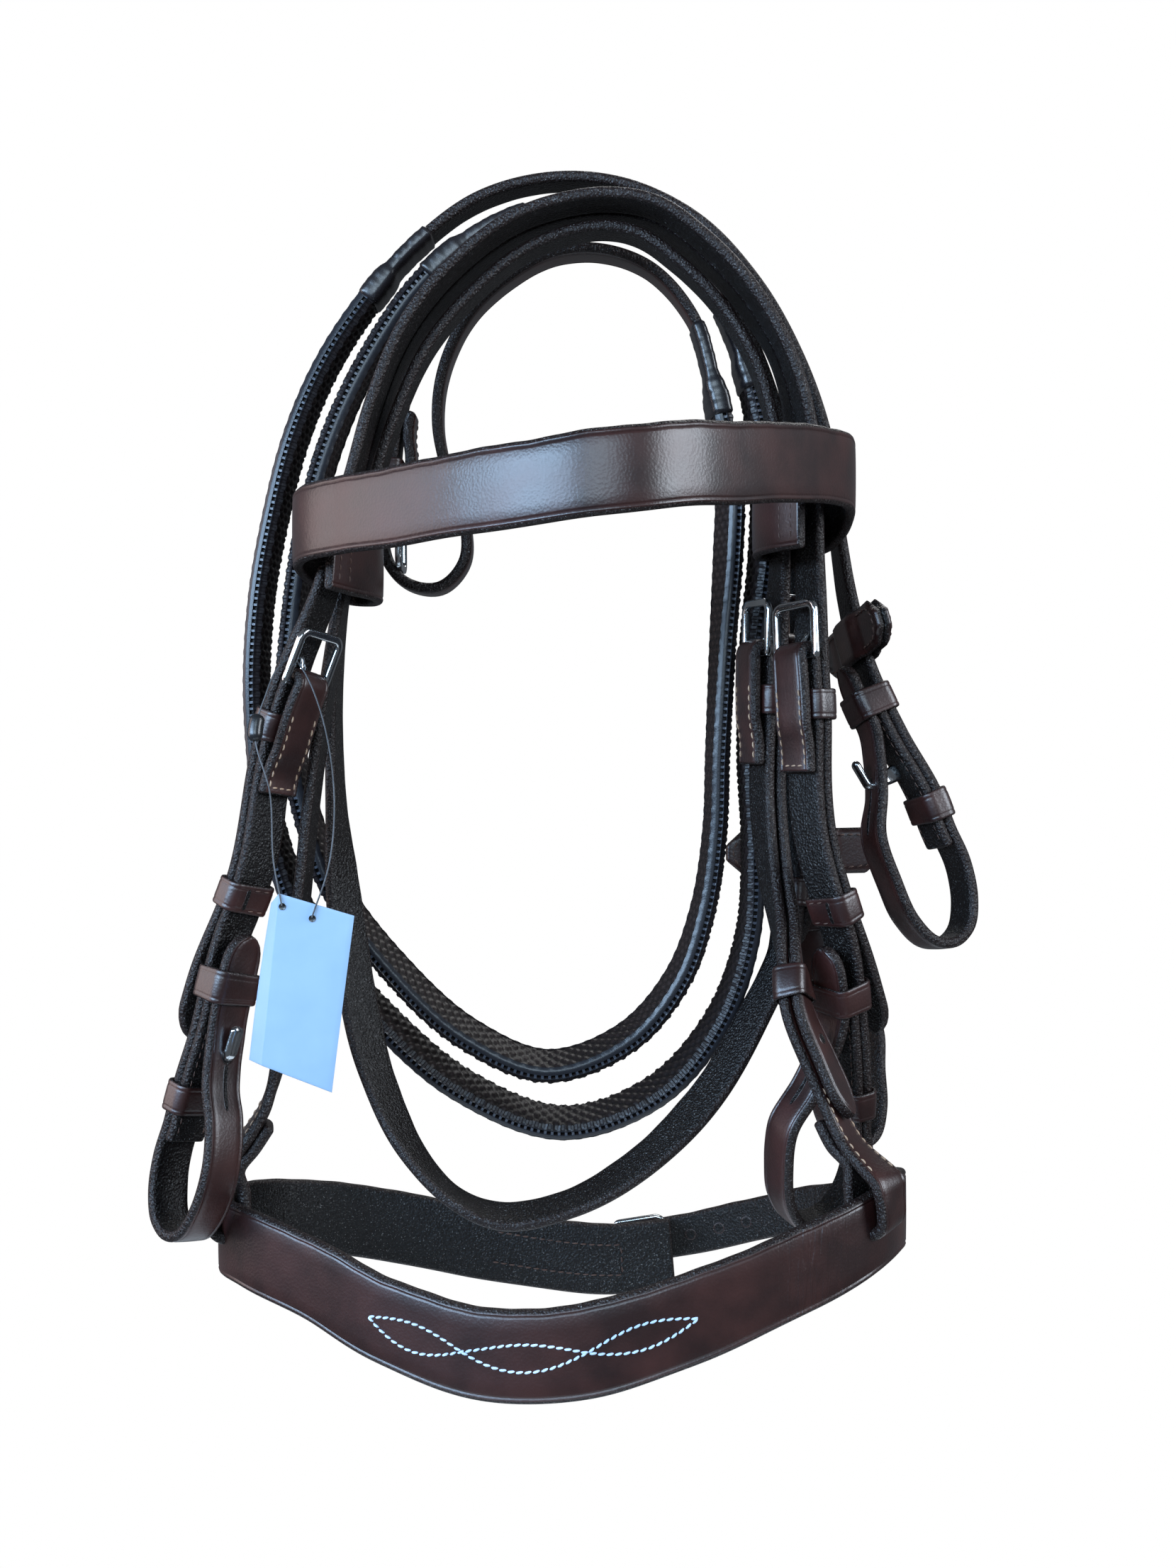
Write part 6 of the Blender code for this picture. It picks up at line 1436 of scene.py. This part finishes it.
keeper("rein_keeper_buckle", centre, s_rein_bar + KEEPER_BELOW, -REIN_THICK / 2,
       REIN_LAYER + REIN_THICK / 2, REIN_WIDTH)

# Tag
STRING_ROUTE = (
    (-10.6, -6.50, -23.35, 0), (-10.9, -6.35, -21.9, 0), (-11.05, -6.2, -19.6, 0),
    (-11.6, -5.9, -17.6, 0), (-11.3, -5.6, -16.3, 0), (-10.95, -5.35, -15.4, 0),
    (-10.5, -5.0, -15.0, 0), (-10.1, -5.3, -15.4, 0), (-9.4, -5.8, -16.9, 0), (-8.9, -6.2, -19.6, 0),
    (-9.05, -6.35, -22.0, 0), (-9.6, -6.50, -23.75, 0))
string = spline(STRING_ROUTE)
rings = swept(string.p, string.w, (STRING_RADIUS, STRING_RADIUS), (STRING_RADIUS, STRING_RADIUS), 8, 2.0)
string_piece = solid("tag_string_thread", [(rings, 0.0)], "string", "tag", ["tag_string"])
BEAD_HEIGHT = -0.174
s_bead = string.level(BEAD_HEIGHT)
v = np.linspace(-1, 1, 21)
fat = BEAD_RADIUS * np.sqrt(np.clip(1 - np.abs(v) ** 5, 0.04, 1))[:, None]
a = np.linspace(0, 2 * math.pi, 24, endpoint=False)
rings = rings_at(string.at(s_bead + v * BEAD_LONG / 2), fat * np.cos(a), fat * np.sin(a))
bead_piece = solid("tag_bead_plastic", [(rings, 0.0)], "bead", "tag", ["tag_bead"])

FOLD_TOP, FOLD_FOOT = np.array((-10.72, -6.4, -22.95)) * GRID, np.array((-11.3, -6.4, -28.7)) * GRID
FRONT_TOP, FRONT_FOOT = np.array((-8.2, -6.4, -23.7)) * GRID, np.array((-8.95, -6.4, -29.6)) * GRID
BACK_TOP, BACK_FOOT_SHARES = np.array((-11.06, -6.0, -23.3)) * GRID, (0.87, 0.9)
BOW = 0.0005
# Ends of the card's rounding, as shares of its height and of a leaf's width
CARD_END_SHARE, CARD_SIDE_SHARE, CARD_FOLD_SHARE, THIN_EDGE_SHARE = 0.006, 0.02, 0.04, 0.25


def card():
    """Folded card: two flat leaves that meet in a fold.

    Across, the leaves run straight from the back edge to the fold and on to the front edge. Down
    the card they bow towards the viewer as a half sine, and the thickness closes over as a quarter
    circle at the top, the foot and both side edges.
    """
    across = BACK_TOP - FOLD_TOP
    back_foot = BACK_TOP + (FOLD_FOOT - FOLD_TOP) * BACK_FOOT_SHARES[0] + across * BACK_FOOT_SHARES[1]
    v = np.concatenate([[0, 0.002, CARD_END_SHARE], np.linspace(0.02, 0.98, 40), [0.994, 0.998, 1]])
    u = np.concatenate([np.linspace(-1, -0.03, 14), np.linspace(-0.02, 0.02, 5), np.linspace(0.03, 1, 26)])
    top_edge, foot_edge = (BACK_TOP, FOLD_TOP, FRONT_TOP), (back_foot, FOLD_FOOT, FRONT_FOOT)
    high, low = (np.stack([np.interp(u, (-1, 0, 1), column) for column in np.transpose(edge)], axis=1)
                 for edge in (top_edge, foot_edge))
    turned = np.cross(FOLD_FOOT - FOLD_TOP, across)
    turned = unit(turned if turned[1] < 0 else -turned)
    share = np.clip(u / CARD_FOLD_SHARE + 0.5, 0, 1)[:, None]
    face = unit(turned * (1 - share) + np.array((0.0, -1.0, 0.0)) * share)
    bow = BOW * np.sin(math.pi * v)[:, None, None] * np.sin(math.pi * np.abs(u) / 2)[:, None]
    spread = high[None] + (low - high)[None] * v[:, None, None] + face * bow
    over = quarter_round(np.minimum(v, 1 - v) / CARD_END_SHARE)[:, None, None]
    edge = quarter_round((1 - np.abs(u)) / CARD_SIDE_SHARE)[:, None]
    thick = CARD_THICK / 2 * (THIN_EDGE_SHARE + (1 - THIN_EDGE_SHARE) * over * edge)
    middle = spread - face * CARD_THICK / 2
    return np.concatenate([middle + face * thick, (middle - face * thick)[:, ::-1]], axis=1)


solid("tag_card_sheet", [(card(), 0.0)], "card", "tag", ["tag_card"])
# Dish of an eye where the string goes through the card, in dark bead plastic as painted shade in the hole:
# radius and height
EYE_RADIUS, EYE_DOWN, EYE_OUT = 0.0012, 0.0004, BOW * 0.2
EYE_DISH = ((0.02, 0.0002), (0.7, 0.0002), (0.95, 0.0003), (1.0, -0.0002), (0.5, -0.0004),
            (0.02, -0.0004))
a = np.linspace(0, 2 * math.pi, 20, endpoint=False)
circle = np.stack([np.cos(a), np.zeros(20), np.sin(a)], axis=1)
eye_shades = []
for q in (string.p[0], string.p[-1]):
    middle = np.array((q[0], FRONT_TOP[1] - EYE_OUT, q[2] - EYE_DOWN))
    rings = [middle + circle * EYE_RADIUS * r - np.array((0.0, h, 0.0)) for r, h in EYE_DISH]
    eye_shades.append((np.stack(rings), 0.0))
# The eyes are dark dishes of painted shade, not open holes
solid("tag_card_hole_shades", eye_shades, "bead", "tag", ())

# Sewing on the noseband: two lines of pale thread that cross twice between their ends. Each row is
# a lobe: where it begins and ends along the band, and how far the two lines bow across
LOBES = ((-0.068, -0.034, 0.0038, -0.0050), (-0.034, 0.0057, -0.0043, 0.0044),
         (0.0057, 0.0423, 0.0042, -0.0036))
fancy = []
for line in (2, 3):
    s, across = [], []
    for lobe in LOBES:
        u = np.linspace(0, 1, 30)[:-1]
        s.append(lobe[0] + (lobe[1] - lobe[0]) * u)
        across.append(lobe[line] * np.sin(math.pi * u))
    s, across = np.append(np.concatenate(s), LOBES[-1][1]), np.append(np.concatenate(across), 0.0)
    fancy.append(seam_line(nose, nose_front + s, across, NOSE_THICK / 2 + GAP / 3))
stitches("noseband_fancy_thread", fancy, "thread_blue", long=0.0024, gap=GAP, radius=0.00048, lean=0.22)
REAR_FROM, REAR_TO, REAR_SEWN_WIDTH, REAR_CROSS_HALF = 0.020, 0.070, 0.0165, 0.0055
rear_rows = edge_rows(nose, REAR_FROM, REAR_TO, REAR_SEWN_WIDTH, -NOSE_THICK / 2)
rear_rows.append(cross_row(nose, REAR_FROM, -REAR_CROSS_HALF, REAR_CROSS_HALF, -NOSE_THICK / 2))
stitches("noseband_rear_thread", rear_rows, "thread_dark")

# Holes in the billets
HOLE_STEP, FIRST_HOLE, FIRST_CHIN_HOLE = 0.019, 0.028, 0.018


def billet_holes(name, path, tip, way, count, thick=STRAP_THICK, first=FIRST_HOLE, step=HOLE_STEP):
    """Row of holes through a billet, counted from its tip."""
    holes(name, path, [tip + way * (first + step * k) for k in range(count)], [thick / 2, -thick / 2])


billet_holes("crown_left_holes", crown, 0.0, 1, 5)
billet_holes("crown_right_holes", crown, crown.length, -1, 5)
billet_holes("throatlatch_holes", rear_line, rear_line.length, -1, 5)
billet_holes("noseband_holes", head_strap, 0.0, 1, 6)
billet_holes("rein_two_holes", second_path, 0.0, 1, 1, REIN_THICK)
billet_holes("chin_holes", chin, chin.length, -1, 8, first=FIRST_CHIN_HOLE, step=CHIN_HOLE_STEP)

# Sewing at the strap ends
FACE = STRAP_THICK / 2
RIGHT_SEWN, LEFT_SEWN, LEAD_END = 0.040, 0.036, 0.004
lines = turned_rows(nose_cheek, STRAP_WIDTH, STRAP_THICK)
lines += edge_rows(nose_lead, nose_lead.length - RIGHT_SEWN, nose_lead.length - LEAD_END, STRAP_WIDTH, FACE)
stitches("noseband_cheek_strap_thread", lines)
lines = edge_rows(left_lead, left_lead.length - LEFT_SEWN, left_lead.length - LEAD_END, STRAP_WIDTH, FACE)
stitches("noseband_head_strap_thread", lines)
lines = turned_rows(throat_fold, STRAP_WIDTH, STRAP_THICK) + turned_rows(rein_fold, REIN_WIDTH, REIN_THICK)
stitches("throatlatch_end_thread", lines, "thread_dark")
BROW_SEWN_HALF, BROW_SEWN_AT = BROW_WIDTH / 2 - 0.0035, (0.004, 0.009)
lines = [cross_row(brow, s, -BROW_SEWN_HALF, BROW_SEWN_HALF, BROW_THICK / 2)
         for s in (*BROW_SEWN_AT, *(brow.length - s for s in BROW_SEWN_AT[::-1]))]
stitches("browband_thread", lines, "thread_dark")


# Light and stage
MIRRORED_SHARE = 0.05
SKY, SKY_STRENGTH = (0.50, 0.57, 0.68), 0.12
world = bpy.data.worlds.new("world")
world.use_nodes = True
sky = Shading(world.node_tree)
lit = sky.feed(sky.nodes["Background"], {"Color": SKY, "Strength": SKY_STRENGTH})["Background"]
white = sky.add("ShaderNodeBackground", {"Color": (1.0, 1.0, 1.0), "Strength": 1.0})["Background"]
ray = sky.add("ShaderNodeLightPath", {})
seen = sky.math("MULTIPLY_ADD", ray["Is Glossy Ray"], MIRRORED_SHARE, ray["Is Camera Ray"])
seen = sky.math("MAXIMUM", seen, ray["Is Transmission Ray"])
shown = sky.add("ShaderNodeMixShader", {"Fac": seen, 1: lit, 2: white})["Shader"]
sky.put(sky.nodes["World Output"].inputs["Surface"], shown)
bpy.context.scene.world = world
bpy.context.scene.view_settings.view_transform = "Standard"


def area_light(name, place, aim, size, power, colour):
    """Oblong lamp at a place, turned to face its aim."""
    lamp = bpy.data.lights.new(name, "AREA")
    lamp.shape, lamp.size, lamp.size_y = "RECTANGLE", size[0], size[1]
    lamp.energy, lamp.color = power, colour
    lamp_object = bpy.data.objects.new(name, lamp)
    lamp_object.location = place
    x, y, z = np.array(aim) - np.array(place)
    lamp_object.rotation_euler = (math.atan2(math.hypot(x, y), -z), 0.0, math.atan2(-x, y))
    bpy.context.collection.objects.link(lamp_object)


# Name, place, aim, size, power and colour
LAMPS = (("front_window", (0.05, -1.80, 0.30), (0.0, 0.0, -0.10), (0.8, 0.5), 14.0, (0.66, 0.84, 1.0)),
         ("left_window", (-1.15, -1.12, 0.20), (0.0, -0.05, -0.10), (1.5, 0.5), 54.0, (0.50, 0.72, 1.0)),
         ("side_window", (1.35, -0.55, 0.30), (-0.05, 0.0, -0.18), (0.6, 0.9), 24.0, (0.82, 0.90, 1.0)),
         ("left_wall", (-1.35, 0.05, 0.0), (0.0, -0.05, -0.15), (0.6, 1.0), 6.0, (1.0, 0.82, 0.78)),
         ("rim", (0.3, 0.9, 0.9), (0.0, 0.0, -0.2), (0.9, 0.5), 7.0, (1.0, 1.0, 1.0)))
for lamp_row in LAMPS:
    area_light(*lamp_row)

# Floor below the hanging bridle
FLOOR_DOWN, FLOOR_HALF, FLOOR_COLOUR, FLOOR_ROUGH = 0.62, 0.28, (0.84, 0.82, 0.78), 0.8
corners = [(x * FLOOR_HALF, y * FLOOR_HALF, -FLOOR_DOWN) for x, y in ((-1, -1), (1, -1), (1, 1), (-1, 1))]
floor_mesh = bpy.data.meshes.new("floor")
floor_mesh.from_pydata(corners, [], [(0, 1, 2, 3)])
floor_mesh.materials.append(new_material("pale_floor", FLOOR_COLOUR, FLOOR_ROUGH)[0])
floor = bpy.data.objects.new("floor", floor_mesh)
bpy.context.collection.objects.link(floor)
